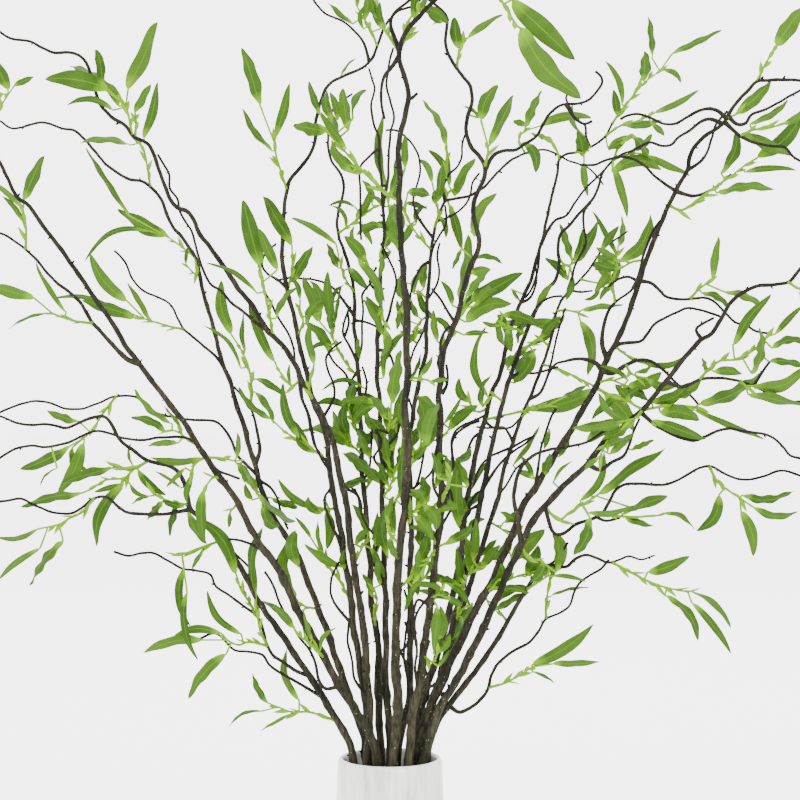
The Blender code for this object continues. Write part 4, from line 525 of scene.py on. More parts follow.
        "route": ((424, 722), (438, 690), (453, 655), (470, 622), (484, 596), (497, 570), (508, 545),
                  (517, 522), (526, 500), (536, 486), (547, 470), (557, 453), (567, 437), (577, 418),
                  (588, 400), (598, 383), (602, 370), (607, 357), (617, 342), (625, 325), (632, 305),
                  (639, 282), (647, 258), (656, 234), (665, 211), (673, 195), (681, 181), (688, 170),
                  (690, 157), (694, 147), (704, 137), (718, 128), (727, 118), (735, 105), (745, 94),
                  (756, 82), (768, 80), (800, 81), (826, 84)),
        "twigs": (
            (-24, 3.4, ((727, 119), (718, 111), (708, 109), (697, 112), (686, 118), (675, 124),
                        (663, 123), (653, 118), (640, 114), (628, 115), (620, 119))),
            (20, 3.2, ((722, 124), (710, 119), (700, 122), (690, 130), (678, 137), (671, 144),
                       (662, 146), (650, 143), (640, 147), (628, 152))),
            (-16, 3.4, ((729, 117), (737, 124), (746, 123), (752, 114), (766, 109), (780, 102),
                        (792, 95), (810, 86))),
            (14, 3.2, ((724, 122), (733, 130), (742, 137), (754, 143), (770, 146), (785, 147),
                       (793, 156), (806, 164))),
            (-20, 3.4, ((675, 191), (684, 194), (694, 196), (705, 193), (718, 186), (731, 175))),
            (22, 3.8, ((676, 192), (665, 184), (655, 176), (645, 166), (634, 159), (621, 157),
                       (607, 160), (594, 165), (580, 164))),
            (16, 3.2, ((640, 280), (645, 262), (651, 246), (656, 228), (664, 216))),
            (18, 4.4, ((606, 358), (602, 344), (604, 325), (609, 310), (618, 299), (630, 291),
                       (638, 284))),
            (-14, 3.0, ((640, 281), (651, 283), (658, 289), (665, 296), (676, 299), (690, 299),
                        (704, 298), (713, 301), (722, 310), (734, 322), (746, 325), (756, 331),
                        (772, 333))),
            (24, 3.2, ((613, 349), (620, 344), (640, 341), (646, 334), (653, 325), (663, 319),
                       (676, 313), (688, 308), (702, 310), (722, 318))),
            (-18, 4.2, ((602, 370), (594, 362), (580, 359), (566, 361), (556, 364), (549, 374))),
            (14, 4.2, ((604, 371), (613, 373), (626, 365), (638, 361), (651, 362), (664, 371),
                       (674, 381), (686, 392), (698, 405))),
            (-22, 2.8, ((690, 172), (700, 162), (708, 150), (711, 138), (716, 124), (728, 111))),
            (20, 2.8, ((533, 487), (538, 470), (541, 450), (545, 432), (550, 418), (556, 408))),
        ),
        "sprigs": (
            (((757, 82), (766, 63), (775, 48)), ((776, 46, 806, 4, 17),)),
            (((728, 118), (735, 115)), ((737, 113, 771, 80, 13),)),
            (((741, 136), (752, 130), (764, 129), (780, 125)),
             ((750, 124, 788, 100, 8), (742, 133, 792, 156, 14), (784, 124, 806, 108, 8))),
            (((668, 205), (682, 210), (700, 198), (715, 187), (730, 177), (745, 165)),
             ((717, 193, 774, 190, 12), (721, 173, 736, 130, 12), (745, 172, 796, 170, 7),
              (757, 158, 805, 108, 16))),
            (((690, 298), (698, 290), (706, 284)),
             ((712, 279, 718, 236, 9), (702, 293, 729, 309, 9), (725, 292, 763, 308, 11))),
            (((612, 300), (613, 284), (617, 264)), ((618, 262, 596, 248, 9),)),
            (((646, 260), (632, 262), (622, 268)), ((620, 268, 594, 262, 9),)),
            (((615, 346), (628, 356), (640, 360)), ((642, 362, 692, 353, 7),)),
            (((598, 383), (610, 380), (624, 385)),
             ((628, 386, 662, 372, 13), (620, 390, 648, 400, 11))),
            (((508, 545), (516, 535), (520, 528)),
             ((512, 560, 545, 530, 17), (521, 525, 500, 512, 8))),
            (((484, 596), (492, 588), (498, 580)), ((500, 590, 528, 594, 8),)),
            (((626, 365), (632, 374), (645, 378)), ((648, 380, 676, 386, 10),)),
            (((490, 597), (503, 583), (515, 577), (530, 573), (545, 571)),
             ((526, 576, 538, 545, 14), (556, 570, 553, 530, 12), (492, 612, 530, 592, 10))),
        ),
    },
    "stem_15": {
        "mouth": (41, 3), "toward": 60, "thick": (8.0, 2.0),
        "route": ((436, 724), (448, 706), (461, 690), (475, 672), (487, 656), (498, 640), (508, 622),
                  (520, 602), (527, 590), (534, 577), (541, 568), (549, 565), (560, 567), (569, 565),
                  (578, 557), (588, 555), (599, 559), (608, 563), (620, 560), (630, 556), (642, 559),
                  (654, 555)),
        "twigs": (
            (20, 3.4, ((449, 705), (458, 712), (466, 710), (476, 704), (484, 696), (489, 686),
                       (492, 674), (499, 663), (514, 651), (530, 642), (539, 632), (546, 619),
                       (560, 613), (570, 606), (574, 592), (580, 583), (591, 575), (601, 569),
                       (609, 560))),
            (-14, 2.6, ((536, 574), (546, 567), (556, 560), (563, 550), (568, 542))),
        ),
        "sprigs": (
            (((489, 688), (505, 683), (520, 675), (532, 667)),
             ((532, 665, 594, 624, 13), (552, 664, 600, 662, 8))),
            (((612, 563), (632, 573), (650, 582), (668, 588), (688, 592)),
             ((648, 572, 689, 556, 12), (691, 591, 731, 628, 8), (665, 595, 698, 641, 10),
              (692, 603, 731, 654, 8))),
            (((546, 619), (546, 603), (549, 587)),
             ((550, 597, 589, 588, 5), (549, 582, 566, 560, 5))),
            (((527, 590), (540, 581), (548, 576)),
             ((549, 572, 522, 558, 10), (552, 576, 586, 582, 5))),
            (((508, 622), (500, 612), (496, 606)), ((497, 602, 530, 588, 10),)),
        ),
    },
    "stem_16": {
        "mouth": (36, 20), "toward": 230, "thick": (9.5, 3.2),
        "route": ((434, 722), (450, 692), (467, 660), (482, 630), (496, 600), (510, 570), (521, 545),
                  (534, 520), (548, 502), (562, 487), (577, 474), (590, 462), (600, 447), (612, 434),
                  (626, 425), (642, 410), (656, 395), (670, 377), (682, 361), (693, 347), (700, 339),
                  (712, 333), (721, 320), (729, 305), (741, 294), (758, 287), (775, 286), (789, 283),
                  (798, 273), (808, 256)),
        "twigs": (
            (-18, 3.4, ((545, 506), (552, 530), (562, 534), (576, 525), (592, 519), (602, 513),
                        (609, 502), (616, 490), (626, 484), (640, 484), (656, 485), (670, 483),
                        (682, 477), (694, 470), (706, 466), (714, 468), (724, 474), (737, 479),
                        (750, 479), (764, 476), (780, 471), (796, 474), (812, 480))),
            (22, 4.4, ((521, 545), (518, 520), (514, 495), (520, 470), (532, 456), (548, 450),
                       (568, 447), (588, 441), (605, 431), (620, 423))),
            (-22, 4.0, ((588, 464), (600, 470), (612, 462), (622, 456), (629, 444), (634, 430),
                        (639, 419))),
            (26, 3.4, ((640, 412), (654, 424), (666, 431), (680, 438), (694, 441), (706, 437),
                       (718, 431), (731, 429), (746, 432), (762, 434), (774, 438), (783, 447),
                       (791, 456), (808, 461))),
            (-20, 3.2, ((667, 381), (682, 387), (700, 380), (720, 378), (740, 381), (757, 388),
                        (772, 396), (787, 402), (808, 400))),
            (14, 2.8, ((701, 338), (696, 330), (702, 324), (713, 318))),
            (-12, 2.6, ((596, 516), (606, 521), (620, 518))),
            (18, 2.6, ((760, 370), (770, 362), (782, 360), (800, 364))),
        ),
        "sprigs": (
            (((642, 411), (654, 408), (672, 405), (695, 407)),
             ((700, 404, 762, 373, 17), (694, 410, 765, 440, 7), (652, 402, 690, 382, 13),
              (660, 412, 700, 420, 15), (672, 398, 702, 378, 12))),
            (((643, 410), (634, 405), (622, 398)),
             ((618, 396, 592, 420, 9), (630, 400, 616, 384, 9), (624, 404, 640, 388, 9))),
            (((643, 411), (636, 418), (628, 420)),
             ((626, 421, 573, 428, 12), (632, 424, 602, 440, 13))),
            (((652, 422), (656, 426)), ((654, 420, 706, 439, 12),)),
            (((740, 381), (746, 386)),
             ((752, 386, 806, 366, 14), (748, 394, 802, 405, 13))),
            (((700, 380), (708, 370), (720, 361), (738, 359), (755, 349), (768, 336)),
             ((733, 345, 771, 294, 11), (752, 374, 760, 328, 13), (775, 334, 803, 305, 7),
              (772, 348, 808, 344, 10), (768, 361, 810, 368, 10), (706, 372, 702, 358, 7),
              (714, 372, 742, 374, 10))),
            (((545, 506), (558, 520), (570, 512), (580, 506), (596, 496)),
             ((599, 494, 666, 448, 13), (580, 501, 604, 452, 8), (588, 513, 632, 507, 7),
              (633, 508, 668, 496, 12), (590, 518, 573, 555, 14))),
            (((602, 514), (616, 516), (634, 517), (656, 516)),
             ((626, 519, 654, 526, 8), (664, 513, 694, 529, 7), (622, 514, 648, 502, 8))),
            (((709, 467), (717, 481), (728, 490), (740, 498)),
             ((719, 495, 696, 531, 12), (742, 495, 793, 491, 11), (753, 507, 798, 512, 9),
              (741, 511, 753, 556, 12))),
            (((521, 545), (528, 558), (540, 560)),
             ((544, 562, 530, 582, 12), (556, 572, 553, 531, 12))),
            (((789, 283), (797, 288), (806, 290)),
             ((810, 290, 846, 296, 10), (800, 294, 812, 326, 9))),
            (((612, 434), (606, 444), (600, 456)),
             ((598, 458, 584, 470, 6), (606, 446, 632, 436, 10))),
        ),
    },
}

# The smaller foliage that only this scene has: each stem's further twigs, sprigs and single leaves.
morePlans = {
    "stem_01": {
        "twigs": (),
        "sprigs": (),
        "leaves": ((203, 552, 192, 570, 5), (133, 466, 131, 443, 4), (130, 484, 148, 496, 5),
                   (291, 714, 261, 731, 4), (122, 484, 94, 492, 6), (183, 507, 162, 501, 7),
                   (187, 496, 194, 473, 7), (181, 488, 154, 471, 4), (188, 510, 207, 544, 10)),
    },
    "stem_02": {
        "twigs": (),
        "sprigs": (),
        "leaves": ((23, 222, 2, 196, 6), (185, 468, 166, 487, 5), (182, 429, 164, 406, 5),
                   (312, 640, 304, 612, 6), (320, 650, 336, 628, 6), (57, 468, 40, 486, 3)),
    },
    "stem_03": {
        "twigs": (
            (8, 2.8, ((362, 700), (355, 680), (352, 660), (347, 640), (349, 622))),
        ),
        "sprigs": (),
        "leaves": ((355, 544, 367, 529, 9), (291, 384, 290, 364, 4), (356, 545, 367, 528, 7)),
    },
    "stem_04": {
        "twigs": (),
        "sprigs": (),
        "leaves": ((72, 448, 88, 470, 9), (298, 567, 296, 531, 14), (262, 505, 280, 527, 12),
                   (250, 485, 238, 462, 8), (252, 500, 245, 484, 7), (256, 493, 295, 521, 11),
                   (268, 503, 280, 528, 8), (282, 500, 298, 507, 5)),
    },
    "stem_05": {
        "twigs": (
            (14, 2.8, ((325, 419), (333, 400), (334, 386), (329, 371), (326, 359), (331, 350), (342, 341))),
            (8, 2.4, ((363, 690), (366, 672), (364, 655), (367, 640))),
        ),
        "sprigs": (),
        "leaves": ((311, 538, 295, 517, 5), (343, 568, 344, 550, 7), (341, 76, 356, 58, 4),
                   (363, 29, 364, 6, 5), (320, 313, 310, 281, 9), (313, 453, 296, 436, 6)),
    },
    "stem_06": {
        "twigs": (
            (12, 2.4, ((368, 535), (363, 520), (361, 507), (359, 497), (353, 488))),
            (10, 2.4, ((363, 482), (370, 465), (371, 445), (371, 426))),
            (10, 2.4, ((360, 362), (362, 345), (362, 325), (363, 310), (362, 295), (370, 284))),
            (12, 2.6, ((343, 338), (347, 330), (349, 322), (348, 312), (351, 306))),
            (10, 3, ((361, 405), (365, 395), (367, 382), (364, 372), (362, 367))),
            (12, 2.6, ((358, 371), (353, 378), (350, 386), (350, 396))),
        ),
        "sprigs": (),
        "leaves": ((355, 207, 328, 206, 4), (335, 326, 342, 285, 5), (359, 360, 358, 338, 6),
                   (364, 388, 322, 390, 5), (367, 447, 356, 428, 10), (346, 228, 330, 205, 5),
                   (360, 422, 343, 398, 12), (370, 429, 365, 411, 9), (369, 458, 357, 430, 12),
                   (376, 447, 365, 434, 8), (381, 406, 357, 394, 9), (360, 394, 347, 388, 7),
                   (372, 480, 342, 487, 8), (347, 445, 331, 436, 9), (352, 448, 333, 411, 12),
                   (370, 452, 350, 431, 11), (380, 585, 378, 560, 7), (338, 120, 330, 92, 8),
                   (334, 333, 331, 312, 8), (333, 303, 344, 285, 5), (370, 432, 356, 452, 9),
                   (362, 420, 342, 409, 8)),
    },
    "stem_07": {
        "twigs": (
            (-8, 3, ((383, 700), (378, 680), (376, 660), (379, 640), (377, 620))),
            (-8, 2.4, ((398, 450), (396, 436), (400, 422), (398, 408))),
            (12, 2.6, ((382, 470), (374, 458), (381, 446), (380, 437), (376, 430), (387, 433))),
        ),
        "sprigs": (),
        "leaves": ((399, 230, 363, 234, 8), (383, 207, 370, 196, 5), (386, 482, 366, 466, 12),
                   (386, 338, 364, 299, 9), (382, 364, 403, 335, 10), (386, 429, 389, 407, 10),
                   (384, 458, 373, 434, 12), (389, 467, 382, 434, 12), (401, 458, 397, 414, 11),
                   (385, 488, 343, 454, 12), (390, 480, 381, 432, 11), (392, 450, 396, 412, 12),
                   (402, 505, 402, 449, 9), (375, 545, 378, 512, 7), (388, 558, 386, 506, 10),
                   (397, 222, 385, 251, 12), (357, 250, 354, 226, 5), (383, 318, 362, 299, 4),
                   (383, 378, 402, 336, 8), (396, 432, 403, 388, 11), (376, 405, 352, 425, 9),
                   (388, 452, 374, 428, 10), (395, 465, 397, 441, 6), (391, 252, 378, 262, 6)),
    },
    "stem_08": {
        "twigs": (
            (12, 2.4, ((397, 655), (406, 646), (409, 634), (405, 622))),
            (-14, 2.8, ((396, 640), (402, 655), (407, 665), (408, 676))),
        ),
        "sprigs": (
            (((400, 52), (390, 38), (382, 25), (376, 10)),
             ((378, 18, 372, -8, 9), (384, 26, 380, 2, 7))),
            (((401, 38), (408, 22), (418, 8)), ((412, 16, 430, -6, 7),)),
            (((400, 180), (404, 172)), ((405, 168, 405, 134, 8),)),
        ),
        "leaves": ((423, 505, 409, 494, 9), (423, 580, 431, 548, 5), (410, 523, 410, 497, 5),
                   (420, 376, 432, 356, 6), (410, 464, 427, 446, 7), (428, 447, 424, 410, 12),
                   (425, 505, 410, 490, 9), (395, 535, 396, 501, 8), (346, 148, 321, 112, 8),
                   (352, 172, 331, 140, 12), (398, 250, 393, 216, 9), (402, 232, 392, 205, 8),
                   (400, 248, 386, 232, 7)),
    },
    "stem_09": {
        "twigs": (
            (8, 2.4, ((409, 430), (413, 420), (412, 408), (409, 398))),
            (-10, 2.6, ((414, 484), (420, 474), (423, 460), (424, 446))),
            (6, 3, ((406, 700), (408, 680), (403, 655), (406, 632), (409, 610), (405, 590))),
            (10, 3, ((430, 262), (433, 248), (439, 236), (446, 222), (445, 205))),
            (12, 2.2, ((430, 300), (434, 290), (438, 281), (439, 268), (437, 256), (440, 243))),
        ),
        "sprigs": (
            (((428, 300), (420, 292)),
             ((418, 290, 437, 322, 8), (424, 288, 427, 262, 9))),
            (((411, 340), (404, 334)), ((400, 334, 378, 370, 8),)),
        ),
        "leaves": ((407, 203, 427, 209, 7), (414, 294, 426, 269, 7), (407, 283, 398, 318, 5),
                   (423, 330, 411, 331, 5), (456, 195, 464, 180, 6), (434, 203, 435, 190, 6),
                   (410, 443, 422, 427, 7), (416, 224, 428, 206, 6), (440, 216, 446, 238, 6),
                   (409, 451, 424, 426, 8), (409, 463, 427, 446, 10), (410, 380, 421, 354, 5),
                   (408, 452, 428, 426, 6), (413, 594, 420, 557, 11), (446, 172, 428, 150, 7),
                   (408, 212, 424, 196, 8), (412, 322, 397, 300, 7), (405, 330, 402, 300, 8)),
    },
    "stem_10": {
        "twigs": (
            (8, 2.8, ((420, 690), (415, 670), (417, 650), (413, 632))),
            (14, 2.4, ((417, 645), (415, 622), (419, 610), (426, 600), (433, 592))),
            (16, 3, ((424, 692), (432, 686), (439, 679), (444, 671), (447, 662))),
            (18, 3.8, ((441, 508), (446, 499), (441, 489), (441, 481), (447, 474), (453, 466),
                       (452, 452), (452, 442), (458, 432), (469, 425), (480, 421))),
            (10, 2.4, ((441, 500), (434, 488), (433, 474), (435, 460), (437, 447), (440, 436))),
            (-12, 2.4, ((440, 530), (446, 518), (452, 506), (451, 495), (447, 484))),
        ),
        "sprigs": (
            (((446, 20), (443, 20)), ((443, 22, 427, 11, 8),)),
            (((436, 548), (428, 560), (420, 575)),
             ((427, 552, 417, 590, 12), (424, 575, 411, 592, 6))),
        ),
        "leaves": ((448, 598, 462, 606, 8), (437, 462, 448, 456, 8), (439, 581, 454, 582, 7),
                   (434, 598, 450, 594, 8), (464, 335, 489, 333, 6), (464, 310, 481, 295, 8),
                   (479, 118, 463, 106, 5), (435, 415, 417, 395, 15), (440, 594, 415, 590, 10),
                   (444, 424, 462, 396, 5), (436, 434, 431, 407, 12), (424, 442, 432, 416, 10),
                   (437, 461, 449, 458, 9), (435, 487, 444, 461, 9), (467, 487, 455, 458, 12),
                   (437, 488, 450, 456, 9), (449, 430, 474, 408, 8), (433, 525, 423, 483, 12),
                   (438, 545, 409, 527, 10), (436, 512, 459, 508, 7), (448, 542, 472, 526, 9),
                   (433, 653, 440, 619, 7), (438, 666, 449, 650, 5), (436, 623, 438, 611, 5),
                   (430, 530, 426, 556, 9), (461, 248, 452, 269, 6)),
    },
    "stem_11": {
        "twigs": (),
        "sprigs": (),
        "leaves": ((483, 407, 491, 375, 8), (574, 262, 582, 228, 11), (536, 309, 552, 284, 8),
                   (527, 318, 517, 343, 11), (508, 325, 497, 315, 6), (515, 383, 537, 349, 14),
                   (507, 369, 514, 355, 8), (481, 569, 497, 549, 9), (473, 560, 476, 518, 9),
                   (457, 584, 433, 580, 7), (457, 585, 455, 561, 7), (454, 646, 468, 628, 8)),
    },
    "stem_12": {
        "twigs": (
            (10, 3, ((431, 724), (440, 708), (441, 690), (438, 674), (444, 655), (449, 640))),
            (10, 2.4, ((465, 520), (470, 512), (469, 506), (473, 499), (479, 492))),
        ),
        "sprigs": (
            (((485, 420), (505, 415), (525, 411), (545, 406)), ()),
            (((512, 325), (504, 320)), ((500, 316, 508, 350, 9),)),
        ),
        "leaves": ((468, 529, 485, 519, 7), (511, 344, 498, 314, 9), (511, 289, 520, 302, 4),
                   (455, 462, 470, 448, 9), (467, 523, 455, 467, 13), (451, 600, 417, 591, 8)),
    },
    "stem_13": {
        "twigs": (
            (-10, 2.8, ((428, 720), (424, 700), (428, 680), (425, 660), (430, 640))),
        ),
        "sprigs": (),
        "leaves": ((470, 491, 489, 460, 6), (600, 288, 584, 300, 5), (617, 257, 592, 211, 6),
                   (611, 260, 595, 257, 7), (560, 322, 489, 325, 8), (553, 318, 532, 344, 10),
                   (480, 556, 497, 539, 8), (513, 465, 540, 425, 6), (455, 630, 473, 603, 9)),
    },
    "stem_14": {
        "twigs": (
            (10, 3, ((634, 290), (639, 274), (643, 258), (648, 243), (654, 230), (661, 221))),
            (12, 2.4, ((638, 282), (629, 277), (619, 279), (609, 286))),
        ),
        "sprigs": (),
        "leaves": ((614, 286, 600, 300, 6), (636, 372, 652, 364, 6), (628, 380, 600, 366, 6),
                   (486, 592, 501, 564, 11), (610, 269, 595, 270, 9), (611, 270, 595, 292, 10),
                   (525, 572, 540, 544, 12), (544, 572, 562, 568, 7), (488, 588, 497, 567, 10),
                   (533, 477, 520, 456, 6), (531, 478, 517, 473, 7), (544, 476, 551, 454, 10),
                   (550, 430, 544, 449, 6), (559, 457, 570, 430, 6)),
    },
    "stem_15": {
        "twigs": (),
        "sprigs": (),
        "leaves": ((533, 672, 554, 683, 4),),
    },
    "stem_16": {
        "twigs": (),
        "sprigs": (),
        "leaves": ((634, 423, 598, 393, 12), (620, 421, 572, 429, 8), (587, 442, 618, 431, 12),
                   (610, 454, 633, 433, 9), (631, 450, 654, 440, 7), (598, 494, 626, 478, 8),
                   (553, 482, 572, 461, 4)),
    },
}


def place(x, y, toward):
    shrink = 1.0 - toward / 1000.0 / drawing["eyeDistance"]
    step = drawing["step"]
    eyeHeight = vaseSize["height"] + (drawing["rimY"] - drawing["eyeY"]) * step
    right = (drawing["eyeX"] - drawing["axisX"]) * step + (x - drawing["eyeX"]) * step * shrink
    return Vector((right, -toward / 1000.0, eyeHeight - (y - drawing["eyeY"]) * step * shrink))


def nearest(branches, x, y):
    best = None
    for branch in branches:
        for start, end in zip(branch, branch[1:]):
            run = (end[0] - start[0], end[1] - start[1])
            length = max(run[0] ** 2 + run[1] ** 2, 1e-6)
            share = ((x - start[0]) * run[0] + (y - start[1]) * run[1]) / length
            share = min(max(share, 0.0), 1.0)
            spot = [a + (b - a) * share for a, b in zip(start, end)]
            reach = math.hypot(spot[0] - x, spot[1] - y)
            if best is None or reach < best[0]:
                best = (reach, spot)
    return best[1]


def drawnBranch(route, toward, thick, wave, phase, power=1.0):
    reach = [0.0]
    for start, end in zip(route, route[1:]):
        reach.append(reach[-1] + math.dist(start, end))
    points = []
    for spot, run in zip(route, reach):
        share = run / reach[-1]
        sway = wave * min(share * 4.0, 1.0)
        turn = run * drawing["step"] * 1000.0 / growth["waveLength"] * math.tau + phase
        sway *= math.sin(turn) - math.sin(phase)
        depth = toward[0] + (toward[1] - toward[0]) * share ** power + sway
        points.append((spot[0], spot[1], depth, thick[0] + (thick[1] - thick[0]) * share))
    return points


# Keeps the points that lie off the straight line between their kept neighbours by more than the slack.
def thinOut(points, radii, slack):
    kept = {0, len(points) - 1}
    spans = [(0, len(points) - 1)]
    while spans:
        first, last = spans.pop()
        farthest = (slack, None)
        for index in range(first + 1, last):
            foot, _ = intersect_point_line(points[index], points[first], points[last])
            farthest = max(farthest, ((points[index] - foot).length, index), key=lambda pair: pair[0])
        if farthest[1] is not None:
            kept.add(farthest[1])
            spans += [(first, farthest[1]), (farthest[1], last)]
    return [points[index] for index in sorted(kept)], [radii[index] for index in sorted(kept)]


def beads(points, radii):
    chain = []
    for start, end, first, last in zip(points, points[1:], radii, radii[1:]):
        count = max(int((end - start).length / growth["beadStep"]), 1)
        for index in range(count + 1):
            share = index / count
            chain.append((start.lerp(end, share), first + (last - first) * share))
    return chain


def cellOf(spot):
    return tuple(int(math.floor(value / growth["cell"])) for value in spot)


def addTo(space, chain, owner):
    for spot, radius in chain:
        space.setdefault(cellOf(spot), []).append((spot, radius, owner))


# Looks in the 27 cells around each bead. Near its root, a branch may touch its own stem.
def isFree(space, chain, owner, near):
    for spot, radius in chain:
        beyond = (spot - chain[0][0]).length > near
        home = cellOf(spot)
        for shift in range(27):
            key = (home[0] + shift % 3 - 1, home[1] + shift // 3 % 3 - 1, home[2] + shift // 9 - 1)
            for other, size, name in space.get(key, ()):
                if (beyond or name != owner) and (other - spot).length < size + radius + growth["gap"]:
                    return False
    return True


def branchShape(drawn):
    return [place(*spot[:3]) for spot in drawn], [spot[3] / 2000.0 for spot in drawn]


def growStem(space, name, plan, dice):
    right, toward = plan["mouth"]
    rim = (drawing["axisX"] + right / 1000.0 / drawing["step"], drawing["rimY"])
    phase = dice.uniform(0.0, math.tau)
    drawn = drawnBranch((rim,) + plan["route"], (toward, plan["toward"]), plan["thick"],
                        growth["stemWave"], phase, growth["leanPower"])
    points, radii = branchShape(drawn)
    foot = Vector((right / 1000.0, -toward / 1000.0, vaseSize["floor"] + growth["seat"]))
    low = Vector((foot.x, foot.y, vaseSize["height"] * growth["straightPart"]))
    points[0] = Vector((foot.x, foot.y, vaseSize["height"] - growth["belowRim"]))
    points = [foot, low] + points
    radii = [radii[0], radii[0]] + radii
    addTo(space, beads(*thinOut(points, radii, growth["stemSlack"])), name)
    return drawn, (points, radii)


# Tries depth after depth, and then lets the branch touch its own stem all along, until it runs free.
def freeBranch(space, name, route, root, toward, thick, wave, slack, clearances):
    route = (tuple(root[:2]),) + route[1:]
    for near, shift in product(clearances, growth["towardTries"]):
        found = drawnBranch(route, (root[2], root[2] + toward + shift), thick, *wave)
        points, radii = branchShape(found)
        chain = beads(*thinOut(points, radii, slack))
        if isFree(space, chain, name, near):
            addTo(space, chain, name)
            return found, (points, radii)
    return None


def growTwig(space, name, plan, drawn, dice):
    toward, thick, route = plan
    root = nearest(drawn, *route[0])
    phase = dice.uniform(0.0, math.tau)
    thick = (min(thick, root[3] * growth["twigShare"]), growth["twigTip"])
    return freeBranch(space, name, route, root, toward, thick, (growth["twigWave"], phase),
                      growth["twigSlack"], growth["twigClear"])


def leafLine(base, tip, outward, roll, width):
    run = tip - base
    side = run.cross(Vector((0.0, -1.0, 0.0))).normalized()
    side.rotate(Matrix.Rotation(roll, 3, run.normalized()).to_quaternion())
    bow = (outward - run.normalized() * outward.dot(run.normalized())) * run.length * growth["bow"]
    shape = ((0.42, 1.0), (1.0, 0.0))
    if run.length > growth["largeLeaf"]:
        shape = ((0.30, 0.90), (0.70, 0.76), (1.0, 0.0))
    points = [base + run * share + bow * (4.0 * share * (1.0 - share)) for share, _ in shape]
    return points, [width * part / 2.0 for _, part in shape], side, bow


def growLeaf(space, name, plan, drawn, dice):
    x, y, tipX, tipY, wide = plan
    root = nearest([drawn], x, y)
    tilt = dice.uniform(-growth["leafTilt"], growth["leafTilt"])
    roll = dice.uniform(-growth["leafRoll"], growth["leafRoll"])
    reach = math.hypot(tipX - x, tipY - y)
    stalk = math.hypot(root[0] - x, root[1] - y)
    start = place(*root[:3])
    outward = (place(*drawn[-1][:3]) - place(*drawn[0][:3])).normalized()
    for share, turn in product(growth["leafClear"], growth["leafTries"]):
        baseToward = root[2] + stalk * (tilt + turn) * 0.5
        base = place(x, y, baseToward)
        tip = place(tipX, tipY, baseToward + reach * (tilt + turn))
        width = wide * drawing["step"] * (1.0 - baseToward / 1000.0 / drawing["eyeDistance"])
        points, radii, side, bow = leafLine(base, tip, outward, roll, width)
        chain = beads([start] + points, [growth["stalk"] / 2.0] + radii)
        if isFree(space, chain, name, share * (tip - start).length):
            addTo(space, chain, name)
            return {"start": start, "base": base, "tip": tip, "side": side, "bow": bow, "width": width}
    return None


def growSprig(space, name, plan, drawn, dice):
    route, leafPlans = plan
    root = nearest(drawn, *route[0])
    phase = dice.uniform(0.0, math.tau)
    lean = dice.uniform(-growth["sprigLean"], growth["sprigLean"])
    grown = freeBranch(space, name, route, root, lean, (growth["sprigRoot"], growth["sprigTip"]),
                       (growth["sprigWave"], phase), growth["sprigSlack"], growth["sprigClear"])
    if not grown:
        return None
    leaves = [growLeaf(space, name, leaf, grown[0], dice) for leaf in leafPlans]
    return grown + ([leaf for leaf in leaves if leaf],)


def closestLine(greens, woody, x, y):
    # A leaf takes the nearest green sprig, or the wood where that is nearer by more than the penalty.
    lines = [(line, 0.0) for line in greens] + [(line, growth["woodPenalty"]) for line in woody]
    return min(lines, key=lambda item: math.dist(nearest([item[0]], x, y)[:2], (x, y)) + item[1])[0]


def growAll():
    dice = random.Random(growth["seed"])
    space = {}
    drawn = {}
    green = {}
    plants = {}

    def keepTwig(name, grown):
        if grown:
            drawn[name].append(grown[0])
            plants[name]["twigs"].append(grown[1])
        return bool(grown)

    def keepSprig(name, grown):
        if grown:
            green[name].append(grown[0])
            plants[name]["sprigs"].append(grown[1])
            plants[name]["leaves"].extend(grown[2])
        return bool(grown)

    for name, plan in stemPlans.items():
        line, shape = growStem(space, name, plan, dice)
        drawn[name] = [line]
        green[name] = []
        plants[name] = {"stem": shape, "twigs": [], "sprigs": [], "leaves": []}
    for name, plan in stemPlans.items():
        for twig in plan["twigs"]:
            keepTwig(name, growTwig(space, name, twig, drawn[name], dice))
    for name, plan in stemPlans.items():
        for sprig in plan["sprigs"]:
            keepSprig(name, growSprig(space, name, sprig, drawn[name], dice))
    growth["gap"] = growth["fineGap"]  # the smaller foliage may stand closer
    dice = random.Random(growth["seed"] + 1)
    missed = 0
    for name, plan in morePlans.items():
        for twig in plan["twigs"]:
            missed += not keepTwig(name, growTwig(space, name, twig, drawn[name], dice))
        for sprig in plan["sprigs"]:
            missed += not keepSprig(name, growSprig(space, name, sprig, drawn[name], dice))
        for leafPlan in plan["leaves"]:
            line = closestLine(green[name], drawn[name], *leafPlan[:2])
            leaf = growLeaf(space, name, leafPlan, line, dice)
            if leaf:
                plants[name]["leaves"].append(leaf)
            missed += not leaf
    print("smaller foliage grown,", missed, "left out")
    return plants


# A smooth curve through all the points, one cubic for each stretch.
def smoothLine(points, radii, pitch):
    fine, thick = [], []
    for index in range(len(points) - 1):
        before, start = points[max(index - 1, 0)], points[index]
        end, after = points[index + 1], points[min(index + 2, len(points) - 1)]
        steps = max(int((end - start).length / pitch), 1)
        for step in range(steps):
            t = step / steps
            bend = (2.0 * before - 5.0 * start + 4.0 * end - after) * t * t
            turn = (3.0 * start - before - 3.0 * end + after) * t ** 3
            fine.append(0.5 * (2.0 * start + (end - before) * t + bend + turn))
            thick.append(radii[index] + (radii[index + 1] - radii[index]) * t)
    return fine + [points[-1]], thick + [radii[-1]]


def seat(spot, lines):
    best = None
    for points, _ in lines:
        for start, end in zip(points, points[1:]):
            _, share = intersect_point_line(spot, start, end)
            foot = start.lerp(end, min(max(share, 0.0), 1.0))
            if best is None or (foot - spot).length < best[0]:
                best = ((foot - spot).length, foot)
    return best[1]


